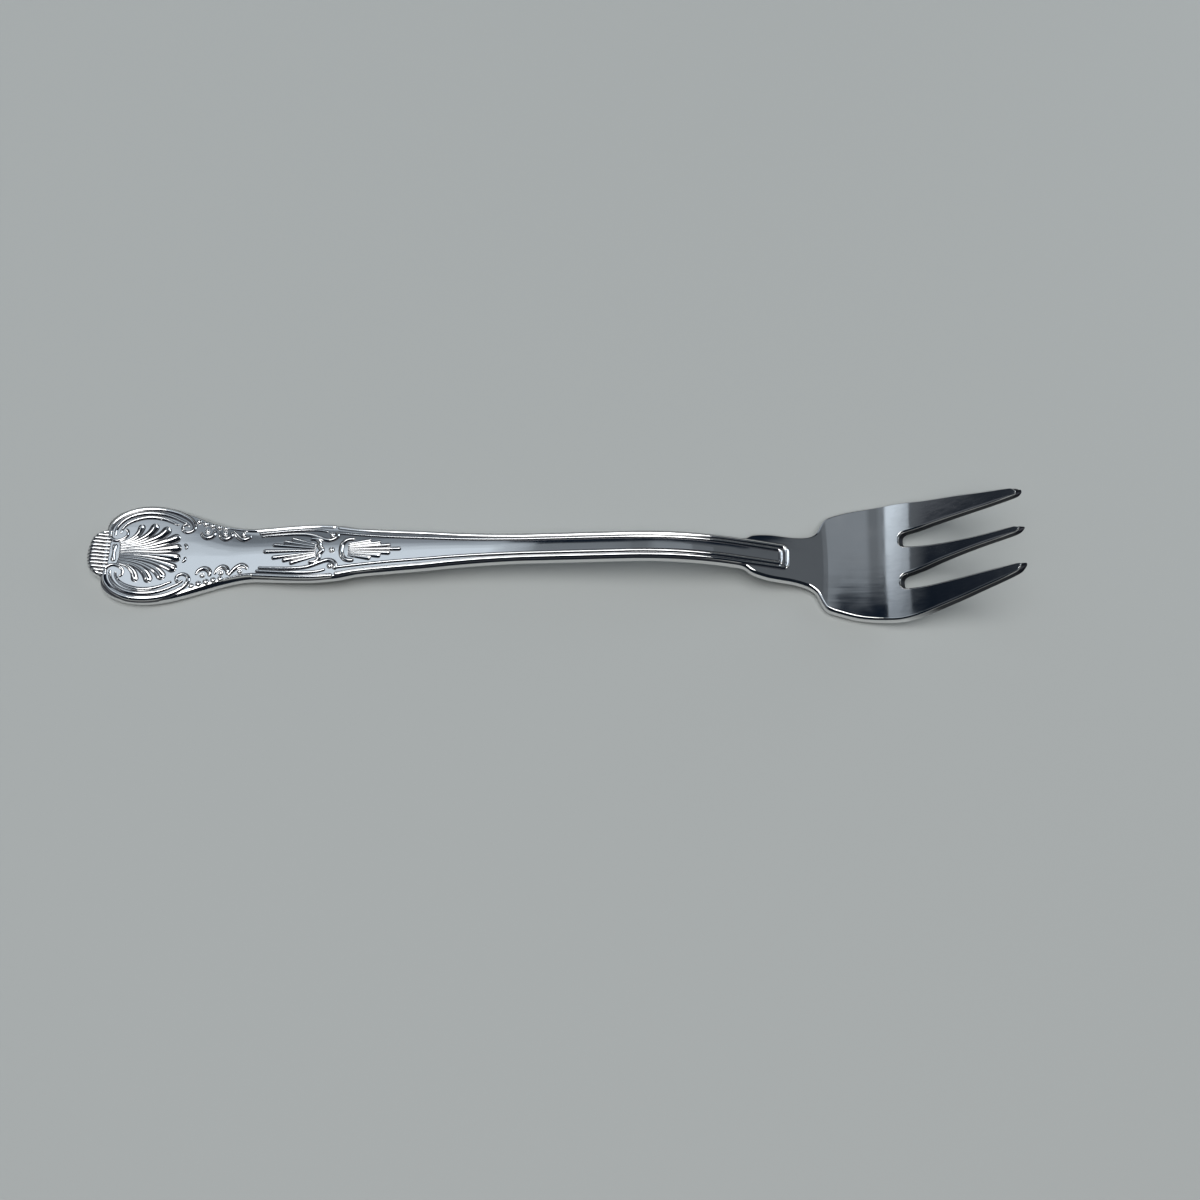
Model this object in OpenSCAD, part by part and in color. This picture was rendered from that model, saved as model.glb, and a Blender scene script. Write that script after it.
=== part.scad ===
// Oyster fork, pressed from one blank of stainless steel and shown as it lies on a table.
// X runs from the heel of the handle to the tines, Z is up, and the fork is even about Y = 0.
// The origin is under the middle of its length, on the table.

/* [Handle end] */
// Distance from the heel to the narrowest point of the waist
end_length = 27; // [24:0.5:31]
// Greatest width of the handle end
end_width = 17; // [15.5:0.25:19]
// Thickness of the handle end under its ornament
end_thickness = 2.2; // [1.8:0.1:2.8]
// Width of the fluted lobe at the heel
lobe_width = 8.2; // [7.4:0.1:9]
// How far the lobe stands out past the shoulders
lobe_length = 2.3; // [1.8:0.1:2.8]
// Radius that rolls the lobe over at the heel
lobe_roll = 1.2; // [0.8:0.1:1.5]

/* [Waist] */
// Length of the waist, from its narrowest point to the start of the stem
waist_length = 13; // [11.5:0.5:16]
// Width at the narrowest point of the waist
waist_width = 9.1; // [8.4:0.1:10]
// Width of the bulge where the waist meets the stem
bulge_width = 10; // [9.4:0.1:11.5]

/* [Stem] */
// Length of the stem, from the waist to the neck
stem_length = 64; // [54:1:76]
// Length over which the stem tapers to its least width
taper_length = 30; // [24:1:36]
// Width of the slender part of the stem
stem_width = 4.9; // [4.4:0.1:5.8]
// Thickness of the stem under its threads
stem_thickness = 2.6; // [2:0.1:3.2]
// Height at which the rise of the handle and the fall of the neck would meet
crest_height = 8.75; // [6.5:0.25:11]
// Distance of that meeting point behind the neck
crest_setback = 9; // [7:0.5:11]
// Radius of the arch of the stem
crest_radius = 44; // [30:1:50]

/* [Neck] */
// Length of the neck
neck_length = 11.5; // [10.5:0.5:14]
// Width of the neck
neck_width = 8; // [7:0.1:9]

/* [Head] */
// Length of the head, from the neck to the roots of the tines
head_length = 14; // [12:0.5:17]
// Greatest width of the head
head_width = 20.5; // [18.5:0.25:23]
// Thickness of the head where it meets the neck
head_thickness = 1.9; // [1.5:0.1:2.4]
// How far the sides of the head curl up
head_dish = 0.35; // [0:0.05:0.7]
// Radius of the bend from the neck into the head
foot_radius = 8; // [4:0.5:10]

/* [Tines] */
// Length of the tines, measured level
tine_length = 17; // [15:0.5:20]
// Height of the upper face at the tips of the tines
tip_height = 15.9; // [12:0.25:18]
// Radius of the bend from the head into the tines
curl_radius = 17.5; // [12:0.5:19]
// Thickness of the tines at their roots
root_thickness = 1.6; // [1.2:0.1:2]
// Thickness of the tines near their tips
tip_thickness = 1.2; // [0.9:0.05:1.5]
// Width of the middle tine at its root
middle_root_width = 5.3; // [4.6:0.1:6]
// Width of the slots at their roots
slot_width = 2.1; // [1.6:0.1:2.6]
// Distance between the middles of the two outer tips
tip_spread = 12.3; // [11.5:0.1:13.5]
// Width of each tip
tip_width = 1; // [0.8:0.05:1.3]

/* [Ornament] */
// How far the ornament stands up from the ground
relief = 0.42; // [0.25:0.01:0.6]
// Width of a thin line, such as an inner thread
line_width = 0.42; // [0.3:0.01:0.5]
// Width of the lines of the scrolls and of the threads on the rim
broad_line_width = 0.56; // [0.4:0.01:0.6]
// Number of flutes on the lobe
flute_count = 13; // [9:2:15]
// Radius of the bead between the two palmettes
bead_radius = 0.45; // [0.3:0.05:0.6]

/* [Hidden] */

// Places where the outline and the side view turn, as shares of the stretch that holds them
shoulder_share = 0.34;
crease_share = 0.76;
foot_place_share = 0.14;
curl_place_share = 0.06;

// Stations along the fork, all measured from the heel
waist_x = end_length;
stem_x = waist_x + waist_length;
neck_x = stem_x + stem_length;
head_x = neck_x + neck_length;
root_x = head_x + head_length;
fork_length = root_x + tine_length;
crease_x = end_length * crease_share;
crest_x = neck_x - crest_setback;
foot_x = head_x + head_length * foot_place_share;
curl_x = root_x - tine_length * curl_place_share;

end_half = end_width / 2;
lobe_half = lobe_width / 2;
waist_half = waist_width / 2;
bulge_half = bulge_width / 2;
stem_half = stem_width / 2;
neck_half = neck_width / 2;
head_half = head_width / 2;

// Rounding of the edges of the blank, as shares of the thickness there
edge_share = 0.16;
side_share = 0.38;
foot_share = 0.6;
heel_share = 0.33;

// Shape of a raised line across its width, and its least size at a blunt end
crown_share = 0.2;
flank_share = 0.72;
tip_share = 0.3;

// A hair's breadth, to compare stations and to measure slopes
hair = 0.001;

function mix(a, b, t) = a + (b - a) * t;
function span(table, x) = max([0, for (i = [0:len(table) - 2]) if (table[i][0] <= x) i]);
function rise(table, i) = (table[i + 1][1] - table[i][1]) / (table[i + 1][0] - table[i][0]);

// Slope of a smooth curve at a point of its table, which never overshoots the points
function tangent(table, i) =
    i == 0 ? rise(table, 0) :
    i == len(table) - 1 ? rise(table, i - 1) :
    let (a = rise(table, i - 1), b = rise(table, i)) a * b <= 0 ? 0 : 2 * a * b / (a + b);

// Smooth curve through a table of [station, value] pairs
function curve(table, x) =
    let (
        i = span(table, x),
        run = table[i + 1][0] - table[i][0],
        t = min(1, max(0, (x - table[i][0]) / run)),
        u = 1 - t
    )
    table[i][1] * (1 + 2 * t) * u * u + table[i + 1][1] * (3 - 2 * t) * t * t
    + tangent(table, i) * run * t * u * u - tangent(table, i + 1) * run * t * t * u;

// Smooth path through points in the plane, with steps points for each gap
function pass(points, i, t) =
    let (
        last = len(points) - 1,
        a = points[max(0, i - 1)],
        b = points[i],
        c = points[min(last, i + 1)],
        d = points[min(last, i + 2)]
    )
    (2 * b + (c - a) * t + (2 * a - 5 * b + 4 * c - d) * t * t + (3 * b - a - 3 * c + d) * t * t * t) / 2;
function path(points, steps) = [
    for (i = [0:len(points) - 2]) for (k = [0:steps - 1]) pass(points, i, k / steps),
    points[len(points) - 1]
];

// The ground line seen from the side: straight runs with a round bend at each corner
side_corners = [
    [0, end_thickness], [crease_x, end_thickness], [crest_x, crest_height],
    [foot_x, head_thickness], [curl_x, root_thickness], [fork_length, tip_height]
];
side_radii = [0, 0, crest_radius, foot_radius, curl_radius, 0];
function heading(i) =
    atan2(side_corners[i + 1][1] - side_corners[i][1], side_corners[i + 1][0] - side_corners[i][0]);
function run(i) = norm(side_corners[i + 1] - side_corners[i]);
function reach(i) =
    let (turn = abs(heading(i) - heading(i - 1)))
    min(side_radii[i] * tan(turn / 2), min(run(i - 1), run(i)) / 2);
function bent(i, x) =
    let (
        a = heading(i - 1),
        way = heading(i) > a ? 1 : -1,
        r = reach(i) / tan(abs(heading(i) - a) / 2),
        start = side_corners[i] - reach(i) * [cos(a), sin(a)],
        centre = start + way * r * [-sin(a), cos(a)]
    )
    centre[1] - way * sqrt(max(0, r * r - (x - centre[0]) * (x - centre[0])));
function in_bend(i, x) =
    side_radii[i] > 0
    && x > side_corners[i][0] - reach(i) * cos(heading(i - 1))
    && x < side_corners[i][0] + reach(i) * cos(heading(i));
function rolled(x, r) = x >= r ? 0 : r - sqrt(r * r - (r - x) * (r - x));
function side_line(x) =
    let (i = span(side_corners, x), j = i + 1)
    (in_bend(i, x) ? bent(i, x) :
     j < len(side_corners) - 1 && in_bend(j, x) ? bent(j, x) :
     side_corners[i][1] + rise(side_corners, i) * (x - side_corners[i][0]))
    - rolled(x, lobe_roll);

// Half width of the handle end: a lobe, a round shoulder and a long ease to the waist
shoulder_x = end_length * shoulder_share;
shoulder_start_share = 0.17;
shoulder_half = mix(lobe_half, end_half, shoulder_start_share);
lobe_shares = [[0, 0.3], [0.1, 0.52], [0.28, 0.76], [0.5, 0.9], [1, 1]];
function shoulder(x) =
    let (t = (shoulder_x - x) / (shoulder_x - lobe_length))
    shoulder_half + (end_half - shoulder_half) * sqrt(max(0, 1 - t * t));
function ease(x) =
    mix(waist_half, end_half, (1 + cos(180 * (x - shoulder_x) / (waist_x - shoulder_x))) / 2);

// Half width from the waist to the neck, and from the neck to the roots of the tines
bulge_shares = [[0, 0], [0.16, 0.26], [0.5, 0.85], [0.72, 1]];
taper_shares = [[0, 0.92], [0.13, 0.65], [0.3, 0.5], [0.47, 0.36], [0.63, 0.2], [0.8, 0.075], [1, 0]];
neck_shares = [
    [0, 0], [0.08, 0.12], [0.15, 0.5], [0.26, 0.76], [0.48, 0.97], [0.7, 1], [0.91, 1.2], [1, 1.44]
];
head_shares = [
    [0.06, 0.21], [0.115, 0.46], [0.17, 0.645], [0.3, 0.76], [0.54, 0.896], [0.83, 0.975], [0.96, 1], [1, 1]
];
head_start_share = 1.17;
body_table = concat(
    [for (s = bulge_shares) [mix(waist_x, stem_x, s[0]), mix(waist_half, bulge_half, s[1])]],
    [for (s = taper_shares) [stem_x + taper_length * s[0], mix(stem_half, bulge_half, s[1])]],
    [for (s = neck_shares) [mix(neck_x, head_x, s[0]), mix(stem_half, neck_half, s[1])]]
);
head_table = concat(
    [[head_x, neck_half * head_start_share]],
    [for (s = head_shares) [mix(head_x, root_x, s[0]), mix(neck_half, head_half, s[1])]]
);
lobe_table = [for (s = lobe_shares) [lobe_length * s[0], lobe_half * s[1]]];
function half(x) =
    x <= lobe_length ? curve(lobe_table, x) :
    x <= shoulder_x ? shoulder(x) :
    x <= waist_x ? ease(x) :
    x <= head_x ? curve(body_table, x) : curve(head_table, x);

// Stations of the whole blank, closer together where its outline turns
function upto(a, b, n) = [for (i = [0:n - 1]) mix(a, b, i / n)];
lobe_station_shares = [0, 0.05, 0.12, 0.22, 0.36, 0.56, 0.78, 1];
shoulder_steps = 7;
start_share = 0.35;
shoulder_turn = 90 / (shoulder_steps + start_share);
tine_station_shares = [0, 0.02, 0.07, 0.14, 0.22, 0.3, 0.42, 0.55, 0.7, 0.85, 0.95, 1];
crest_start = crest_x - reach(2) * cos(heading(1));
stations = concat(
    [for (s = lobe_station_shares) lobe_length * s],
    [for (i = [0:shoulder_steps - 1]) mix(shoulder_x, lobe_length, cos(shoulder_turn * (i + start_share)))],
    upto(shoulder_x, crease_x, 7),
    upto(crease_x, waist_x, 4),
    upto(waist_x, stem_x, 6),
    upto(stem_x, stem_x + taper_length, 9),
    [stem_x + taper_length],
    upto(crest_start, neck_x, 8),
    [for (s = neck_shares) if (s[0] < 1) mix(neck_x, head_x, s[0])],
    upto(head_x, root_x, 14),
    [for (s = tine_station_shares) mix(root_x, fork_length, s)]
);
function stretch(a, b) = [for (s = stations) if (s > a - hair && s < b + hair) s];

// The ground that carries the ornament, straight from station to station
ground_table = [for (s = stations) [s, side_line(s)]];
function ground(x) = lookup(x, ground_table);

// The underside, a thickness below the ground and never below the table
thickness_table = [
    [0, end_thickness], [crease_x, end_thickness], [stem_x + taper_length, stem_thickness],
    [neck_x, stem_thickness], [foot_x, head_thickness], [curl_x, root_thickness],
    [fork_length, tip_thickness]
];
function lean(x) = (side_line(x + hair) - side_line(x - hair)) / (2 * hair);
function under(x) =
    x < crease_x
    ? rolled(x, lobe_roll * heel_share)
    : max(0, ground(x) - curve(thickness_table, x) * sqrt(1 + lean(x) * lean(x)));

// Across the fork the head curls up at its sides, and the underside of the stem is round
dish_place_share = 0.4;
dish_shares = [[head_x, 0], [mix(head_x, root_x, dish_place_share), 1], [root_x, 1], [fork_length, 0.4]];
belly_shares = [[crease_x, 0], [stem_x, 0.2], [neck_x, 0.25], [head_x, 0.12], [foot_x, 0], [root_x, 0]];
function dish(x, y) = head_dish * (x < head_x ? 0 : curve(dish_shares, x)) * y * y / (head_half * head_half);
function belly(x, y) =
    x < crease_x || x > foot_x ? 0 :
    curve(belly_shares, x) * (ground(x) - under(x)) * y * y / (half(x) * half(x));

// A section of the blank between two edges, which starts at its left edge and goes over the top
function section(x, left, right, fullness, places) =
    let (
        depth = (ground(x) - under(x)) * fullness,
        middle = (ground(x) + under(x)) / 2,
        top = middle + depth / 2,
        low = middle - depth / 2,
        edge = min(depth * edge_share, (right - left) * edge_share),
        foot = min(depth * foot_share, (right - left) * edge_share)
    )
    concat(
        [[x, left, top - edge + dish(x, left)]],
        [for (p = places) let (y = mix(left + edge, right - edge, p)) [x, y, top + dish(x, y)]],
        [[x, right, top - edge + dish(x, right)]],
        [[x, right, low + depth * side_share + dish(x, right) + belly(x, right)]],
        [
            for (i = [len(places) - 1:-1:0])
                let (y = mix(left + foot, right - foot, places[i])) [x, y, low + dish(x, y) + belly(x, y)]
        ],
        [[x, left, low + depth * side_share + dish(x, left) + belly(x, left)]]
    );
blank_places_share = [0, 0.25, 0.5, 0.75, 1];
tine_places_share = [0, 0.5, 1];

// A closed solid through a row of sections that have the same number of points
module loft(rings) {
    n = len(rings[0]);
    last = len(rings) - 1;
    function at(ring, point) = ring * n + point % n;
    function lid(ring) = [
        for (i = [0:floor(n / 2) - 1])
            each i + 1 == n - 2 - i || i == n - 2 - i
                ? [[at(ring, i), at(ring, i + 1), at(ring, n - 1 - i)]]
                : i + 1 > n - 2 - i ? [] : [
                    [at(ring, i), at(ring, i + 1), at(ring, n - 2 - i)],
                    [at(ring, i), at(ring, n - 2 - i), at(ring, n - 1 - i)]
                ]
    ];
    function turned(faces) = [for (f = faces) [f[2], f[1], f[0]]];
    sides = [
        for (r = [0:last - 1]) for (i = [0:n - 1]) each [
            [at(r, i), at(r + 1, i + 1), at(r + 1, i)],
            [at(r, i), at(r, i + 1), at(r + 1, i + 1)]
        ]
    ];
    polyhedron(points = [for (ring = rings) each ring], faces = concat(turned(lid(0)), sides, lid(last)));
}

module blank(a, b) {
    loft([for (x = stretch(a, b)) section(x, -half(x), half(x), 1, blank_places_share)]);
}

// A raised line: each row holds its left foot, its right foot and its height above the ground
function raised(row) =
    let (
        a = row[1],
        b = row[0],
        h = row[2],
        c = mix(a, b, crown_share),
        d = mix(b, a, crown_share),
        m = (a + b) / 2
    )
    [
        [a[0], a[1], ground(a[0])],
        [c[0], c[1], ground(c[0]) + h * flank_share],
        [m[0], m[1], ground(m[0]) + h],
        [d[0], d[1], ground(d[0]) + h * flank_share],
        [b[0], b[1], ground(b[0])]
    ];
module ridge(rows) {
    loft([for (row = rows) raised(row)]);
}

// How full a line is at a share of its length, with blunt round ends
function blunt(t, a, b) =
    let (u = a > 0 && t < a ? 1 - t / a : b > 0 && t > 1 - b ? 1 - (1 - t) / b : 0)
    max(tip_share, sqrt(1 - u * u));

// Rows square to a path, as wide as start_width at its start and end_width at its end
function along(points, start_width, end_width, a, b) =
    let (last = len(points) - 1)
    [
        for (i = [0:last])
            let (
                way = points[min(last, i + 1)] - points[max(0, i - 1)],
                side = [-way[1], way[0]] / norm(way),
                full = blunt(i / last, a, b),
                w = mix(start_width, end_width, i / last) * full
            )
            [points[i] + side * w / 2, points[i] - side * w / 2, relief * full]
    ];

// Blunt ends of the lines, as shares of their length
line_end_share = 0.06;
band_end_share = 0.1;
bracket_end_share = 0.15;

// Rows square to the fork at the given stations
function level(xs, ys, width, a, b) =
    let (last = len(xs) - 1)
    [
        for (i = [0:last])
            let (full = blunt(i / last, a, b), w = width * full)
            [[xs[i], ys[i] + w / 2], [xs[i], ys[i] - w / 2], relief * full]
    ];

// A petal from its root to its round tip
petal_shares = [0, 0.05, 0.35, 0.7, 0.8, 0.9, 0.96, 1];
petal_root_share = 0.05;
petal_tip_share = 0.28;
function petal(root, tip, root_width, tip_width) =
    let (points = [for (t = petal_shares) mix(root, tip, t)])
    along(points, root_width, tip_width, petal_root_share, petal_tip_share);

// A curl that winds in from radius a to radius b
function curl(centre, a, b, start, sweep, n) = [
    for (i = [0:n]) centre + mix(a, b, i / n) * [cos(start + sweep * i / n), sin(start + sweep * i / n)]
];

// Places on the handle end, as shares of its length past the lobe and of its width past the lobe
function on_end(s) = [mix(lobe_length, end_length, s[0]), mix(lobe_half, end_half, s[1])];
function on_waist(s) = let (x = mix(waist_x, stem_x, s[0])) [x, s[1] * half(x)];
function on_shoulder(s) = let (x = end_length * s[0]) [x, s[1] * half(x)];

// The blank, in the lengths that its outline falls into
steel = [0.76, 0.77, 0.79];
bright = [0.86, 0.87, 0.89];

module handle_end() {
    color(steel) blank(0, waist_x);
}

module handle_waist() {
    color(steel) blank(waist_x, stem_x);
}

module stem() {
    color(steel) blank(stem_x, neck_x);
}

module neck() {
    color(steel) blank(neck_x, head_x);
}

module head() {
    color(steel) blank(head_x, root_x);
}

// Edges of the tines: each row holds a share of their length and a share of the way from root to tip
outer_edge_shares = [
    [0, 0], [0.07, 0.03], [0.33, 0.25], [0.5, 0.4], [0.65, 0.56], [0.81, 0.72], [0.92, 0.86], [1, 1]
];
inner_edge_shares = [[0, -0.12], [0.03, 0], [0.1, 0.16], [0.27, 0.45], [0.5, 0.63], [0.7, 0.72], [1, 1]];
middle_edge_shares = [
    [0, -0.06], [0.03, 0.06], [0.17, 0.26], [0.3, 0.47], [0.47, 0.66], [0.65, 0.8], [0.88, 0.9], [1, 1]
];
tip_full_shares = [[0, 1], [0.9, 1], [0.96, 0.85], [1, 0.5]];
function tine_edge(shares, x, root, tip) = mix(root, tip, curve(shares, (x - root_x) / tine_length));
function tine_section(x, left, right) =
    let (full = curve(tip_full_shares, (x - root_x) / tine_length), m = (left + right) / 2)
    section(x, mix(m, left, full), mix(m, right, full), full, tine_places_share);

module outer_tine() {
    slot_edge = middle_root_width / 2 + slot_width;
    loft([
        for (x = stretch(root_x, fork_length))
            tine_section(
                x,
                tine_edge(inner_edge_shares, x, slot_edge, (tip_spread - tip_width) / 2),
                tine_edge(outer_edge_shares, x, half(root_x), (tip_spread + tip_width) / 2)
            )
    ]);
}

module tine_left() {
    color(steel) outer_tine();
}

module tine_right() {
    color(steel) mirror([0, 1, 0]) outer_tine();
}

module tine_middle() {
    color(steel) loft([
        for (x = stretch(root_x, fork_length))
            let (y = tine_edge(middle_edge_shares, x, middle_root_width / 2, tip_width / 2))
            tine_section(x, -y, y)
    ]);
}

// Flutes that lie side by side over the lobe, each as long as the lobe is wide enough for it
flute_length_share = 0.42;
flute_fill_share = 0.86;
flute_end_share = 0.12;
module heel_fluting() {
    pitch = lobe_width / (flute_count + 1);
    width = pitch * flute_fill_share;
    xs = [for (x = stations) if (x < lobe_length * (1 + flute_length_share)) x];
    color(bright) for (i = [0:flute_count - 1]) {
        y = (i - (flute_count - 1) / 2) * pitch;
        run = [for (x = xs) if (x >= lobe_length || half(x) > abs(y) + width / 2) x];
        ridge(level(run, [for (x = run) y], width, 0, flute_end_share));
    }
}

// The shell: ribs that fan out from a hinge bar towards the waist
shell_tip_shares = [[0.5, 0.22], [0.485, 0.72], [0.41, 1.07], [0.325, 1.25], [0.235, 1.22]];
shell_root_share = 0.08;
shell_hinge_share = 0.42;
shell_rib_share = 0.31;
root_fill_share = 0.8;
bar_setback_share = 1.3;
bar_station_shares = [0, 0.1, 0.3, 0.7, 0.9, 1];
bar_end_share = 0.2;
module shell() {
    hinge = on_end([shell_root_share, 0])[0];
    hinge_half = lobe_half * shell_hinge_share;
    root_pitch = hinge_half / len(shell_tip_shares);
    bar_x = hinge - line_width * bar_setback_share;
    color(bright) {
        for (side = [-1, 1], i = [0:len(shell_tip_shares) - 1]) {
            tip = shell_tip_shares[i];
            ridge(petal(
                [hinge, side * root_pitch * (i + 0.5)],
                [on_end(tip)[0], side * lobe_half * tip[1]],
                root_pitch * root_fill_share,
                lobe_half * shell_rib_share
            ));
        }
        ridge(along(
            [for (t = bar_station_shares) [bar_x, hinge_half * (1 - 2 * t)]],
            line_width, line_width, bar_end_share, bar_end_share
        ));
    }
}

// C-scrolls: three lines that follow the rim, and the outer one curls in at both ends
outer_scroll_shares = [
    [0.107, -0.09], [0.123, -0.16], [0.105, -0.26], [0.077, -0.24], [0.053, -0.11], [0.034, 0.06],
    [0.03, 0.24], [0.045, 0.45], [0.085, 0.674], [0.15, 0.82], [0.231, 0.9], [0.308, 0.91],
    [0.385, 0.87], [0.462, 0.765], [0.526, 0.587], [0.567, 0.348], [0.573, 0.13], [0.555, -0.01],
    [0.524, -0.04], [0.506, 0.08], [0.524, 0.2], [0.545, 0.14]
];
middle_scroll_shares = [
    [0.055, 0.1], [0.073, 0.39], [0.125, 0.576], [0.19, 0.717], [0.263, 0.76], [0.336, 0.73], [0.413, 0.61],
    [0.482, 0.48], [0.518, 0.36]
];
inner_scroll_shares = [
    [0.105, 0.11], [0.142, 0.37], [0.186, 0.52], [0.243, 0.587], [0.312, 0.58], [0.393, 0.48],
    [0.462, 0.345], [0.487, 0.28]
];
module scroll() {
    width = broad_line_width;
    for (shares = [outer_scroll_shares, middle_scroll_shares, inner_scroll_shares])
        ridge(along(path([for (s = shares) on_end(s)], 2), width, width, line_end_share, line_end_share));
}

module scroll_left() {
    color(bright) scroll();
}

module scroll_right() {
    color(bright) mirror([0, 1, 0]) scroll();
}

// Leaf sprays on the shoulders: a band along the rim with three hooked leaves inside it
leaf_shares = [[0.683, 0.53, 0.14], [0.822, 0.56, 0.125], [0.928, 0.52, 0.1]];
leaf_band_share = 0.86;
leaf_start_share = 0.64;
leaf_end_share = 0.965;
leaf_eye_share = 0.25;
leaf_width_share = 1.5;
leaf_point_share = 0.6;
leaf_start_angle = 80;
leaf_sweep = 290;
leaf_steps = 12;
module leaf_spray() {
    a = end_length * leaf_start_share;
    b = end_length * leaf_end_share;
    xs = concat([a], [for (x = stations) if (x > a + line_width && x < b - line_width) x], [b]);
    ridge(level(xs, [for (x = xs) half(x) * leaf_band_share], line_width, band_end_share, band_end_share));
    for (s = leaf_shares) {
        centre = on_shoulder(s);
        size = s[2] * end_half;
        ridge(along(
            curl(centre, size, size * leaf_eye_share, leaf_start_angle, leaf_sweep, leaf_steps),
            line_width * leaf_width_share, line_width * leaf_point_share, bracket_end_share, band_end_share
        ));
    }
}

module leaf_spray_left() {
    color(bright) leaf_spray();
}

module leaf_spray_right() {
    color(bright) mirror([0, 1, 0]) leaf_spray();
}

// Threads of the waist: one along the rim, one inside it, and one that ends in a curl
rim_thread_shares = [[0.01, 0.9], [0.3, 0.925], [0.7, 0.92], [0.985, 0.85]];
middle_thread_shares = [[0.03, 0.73], [0.3, 0.79], [0.6, 0.715], [0.78, 0.69]];
curled_thread_shares = [
    [0.03, 0.6], [0.3, 0.68], [0.6, 0.665], [0.79, 0.58], [0.86, 0.44], [0.93, 0.43],
    [0.965, 0.565], [0.925, 0.66], [0.89, 0.57]
];
module thread_line(shares, width) {
    ridge(along(path([for (s = shares) on_waist(s)], 3), width, width, line_end_share, line_end_share));
}
module waist_thread() {
    thread_line(rim_thread_shares, broad_line_width);
    thread_line(middle_thread_shares, line_width);
    thread_line(curled_thread_shares, line_width);
}

module waist_thread_left() {
    color(bright) waist_thread();
}

module waist_thread_right() {
    color(bright) mirror([0, 1, 0]) waist_thread();
}

// Palmettes: petals that open from a bracket, one towards the shell and one towards the tines
lower_tip_shares = [[0.085, 0], [0.2, 0.26], [0.346, 0.4], [0.438, 0.5]];
lower_root_share = 0.71;
lower_bracket_shares = [[0.73, 0.46], [0.795, 0.26], [0.815, 0], [0.795, -0.26], [0.73, -0.46]];
upper_tip_shares = [[0.353, 0], [0.31, 0.15], [0.243, 0.27], [0.18, 0.35]];
upper_root_share = 0.087;
upper_bracket_shares = [[0.073, 0.38], [0.05, 0.22], [0.04, 0], [0.05, -0.22], [0.073, -0.38]];
lower_pitch_share = 0.066;
lower_petal_share = 0.16;
upper_pitch_share = 0.055;
upper_petal_share = 0.12;

module palmette(start_x, tips, pitch, petal_width) {
    for (i = [0:len(tips) - 1], side = i == 0 ? [1] : [-1, 1])
        ridge(petal(
            [start_x, side * pitch * i],
            [tips[i][0], side * tips[i][1]],
            pitch * root_fill_share,
            petal_width
        ));
}

module bracket(points) {
    ridge(along(path(points, 2), line_width, line_width, bracket_end_share, bracket_end_share));
}

module lower_palmette() {
    color(bright) {
        palmette(
            mix(waist_x, stem_x, lower_root_share),
            [for (s = lower_tip_shares) [mix(waist_x, stem_x, s[0]), waist_half * s[1]]],
            waist_half * lower_pitch_share,
            waist_half * lower_petal_share
        );
        bracket([for (s = lower_bracket_shares) [mix(waist_x, stem_x, s[0]), waist_half * s[1]]]);
    }
}

module upper_palmette() {
    color(bright) {
        palmette(
            stem_x + taper_length * upper_root_share,
            [for (s = upper_tip_shares) [stem_x + taper_length * s[0], bulge_half * s[1]]],
            bulge_half * upper_pitch_share,
            bulge_half * upper_petal_share
        );
        bracket([for (s = upper_bracket_shares) [stem_x + taper_length * s[0], bulge_half * s[1]]]);
    }
}

bead_share = 0.954;
module bead() {
    x = mix(waist_x, stem_x, bead_share);
    color(bright)
        translate([x, 0, ground(x)]) rotate([0, -atan(rise(side_corners, 1)), 0])
            rotate_extrude() intersection() {
                circle(bead_radius);
                square(bead_radius);
            }
}

// Threads of the stem: each runs from the waist along one side, round a loop on the neck and back
outer_thread_shares = [
    [0, 0.88], [0.12, 0.68], [0.3, 0.5], [0.47, 0.36], [0.63, 0.2], [0.8, 0.075], [1, 0]
];
inner_thread_shares = [
    [0, 0.72], [0.12, 0.56], [0.3, 0.37], [0.47, 0.25], [0.63, 0.13], [0.8, 0.05], [1, 0]
];
outer_line_share = 0.79;
inner_line_share = 0.52;
outer_loop_share = 0.66;
inner_loop_share = 0.58;
function thread_y(shares, rest, x) =
    rest + (bulge_half - stem_half) * curve(shares, min(1, (x - stem_x) / taper_length));

function far_side(point) = [point[0], -point[1]];

// The loop is a straight end with round corners
loop_corner_share = 0.45;
loop_steps = 4;
function loop_corner(end_x, y, k) =
    let (r = abs(y) * loop_corner_share, turn = 90 * k / loop_steps)
    [end_x - r * (1 - sin(turn)), sign(y) * (abs(y) - r * (1 - cos(turn)))];
function loop_end(end_x, y) = [
    for (k = [1:loop_steps]) loop_corner(end_x, y, k),
    for (k = [loop_steps:-1:1]) loop_corner(end_x, -y, k)
];
module stem_thread(shares, line_share, loop_share, width) {
    rest = stem_half * line_share;
    xs = stretch(stem_x, neck_x);
    ys = [for (x = xs) thread_y(shares, rest, x)];
    loop = loop_end(mix(neck_x, head_x, loop_share), rest);
    go = level(xs, ys, width, 0, 0);
    turn = along(concat([[neck_x, rest]], loop, [[neck_x, -rest]]), width, width, 0, 0);
    ridge(concat(
        go,
        [for (i = [1:len(turn) - 2]) turn[i]],
        [for (i = [len(go) - 1:-1:0]) let (row = go[i]) [far_side(row[0]), far_side(row[1]), row[2]]]
    ));
}

module stem_thread_outer() {
    color(bright) stem_thread(outer_thread_shares, outer_line_share, outer_loop_share, broad_line_width);
}

module stem_thread_inner() {
    color(bright) stem_thread(inner_thread_shares, inner_line_share, inner_loop_share, line_width);
}

module placed() {
    translate([-fork_length / 2, 0, 0]) children();
}

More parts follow.
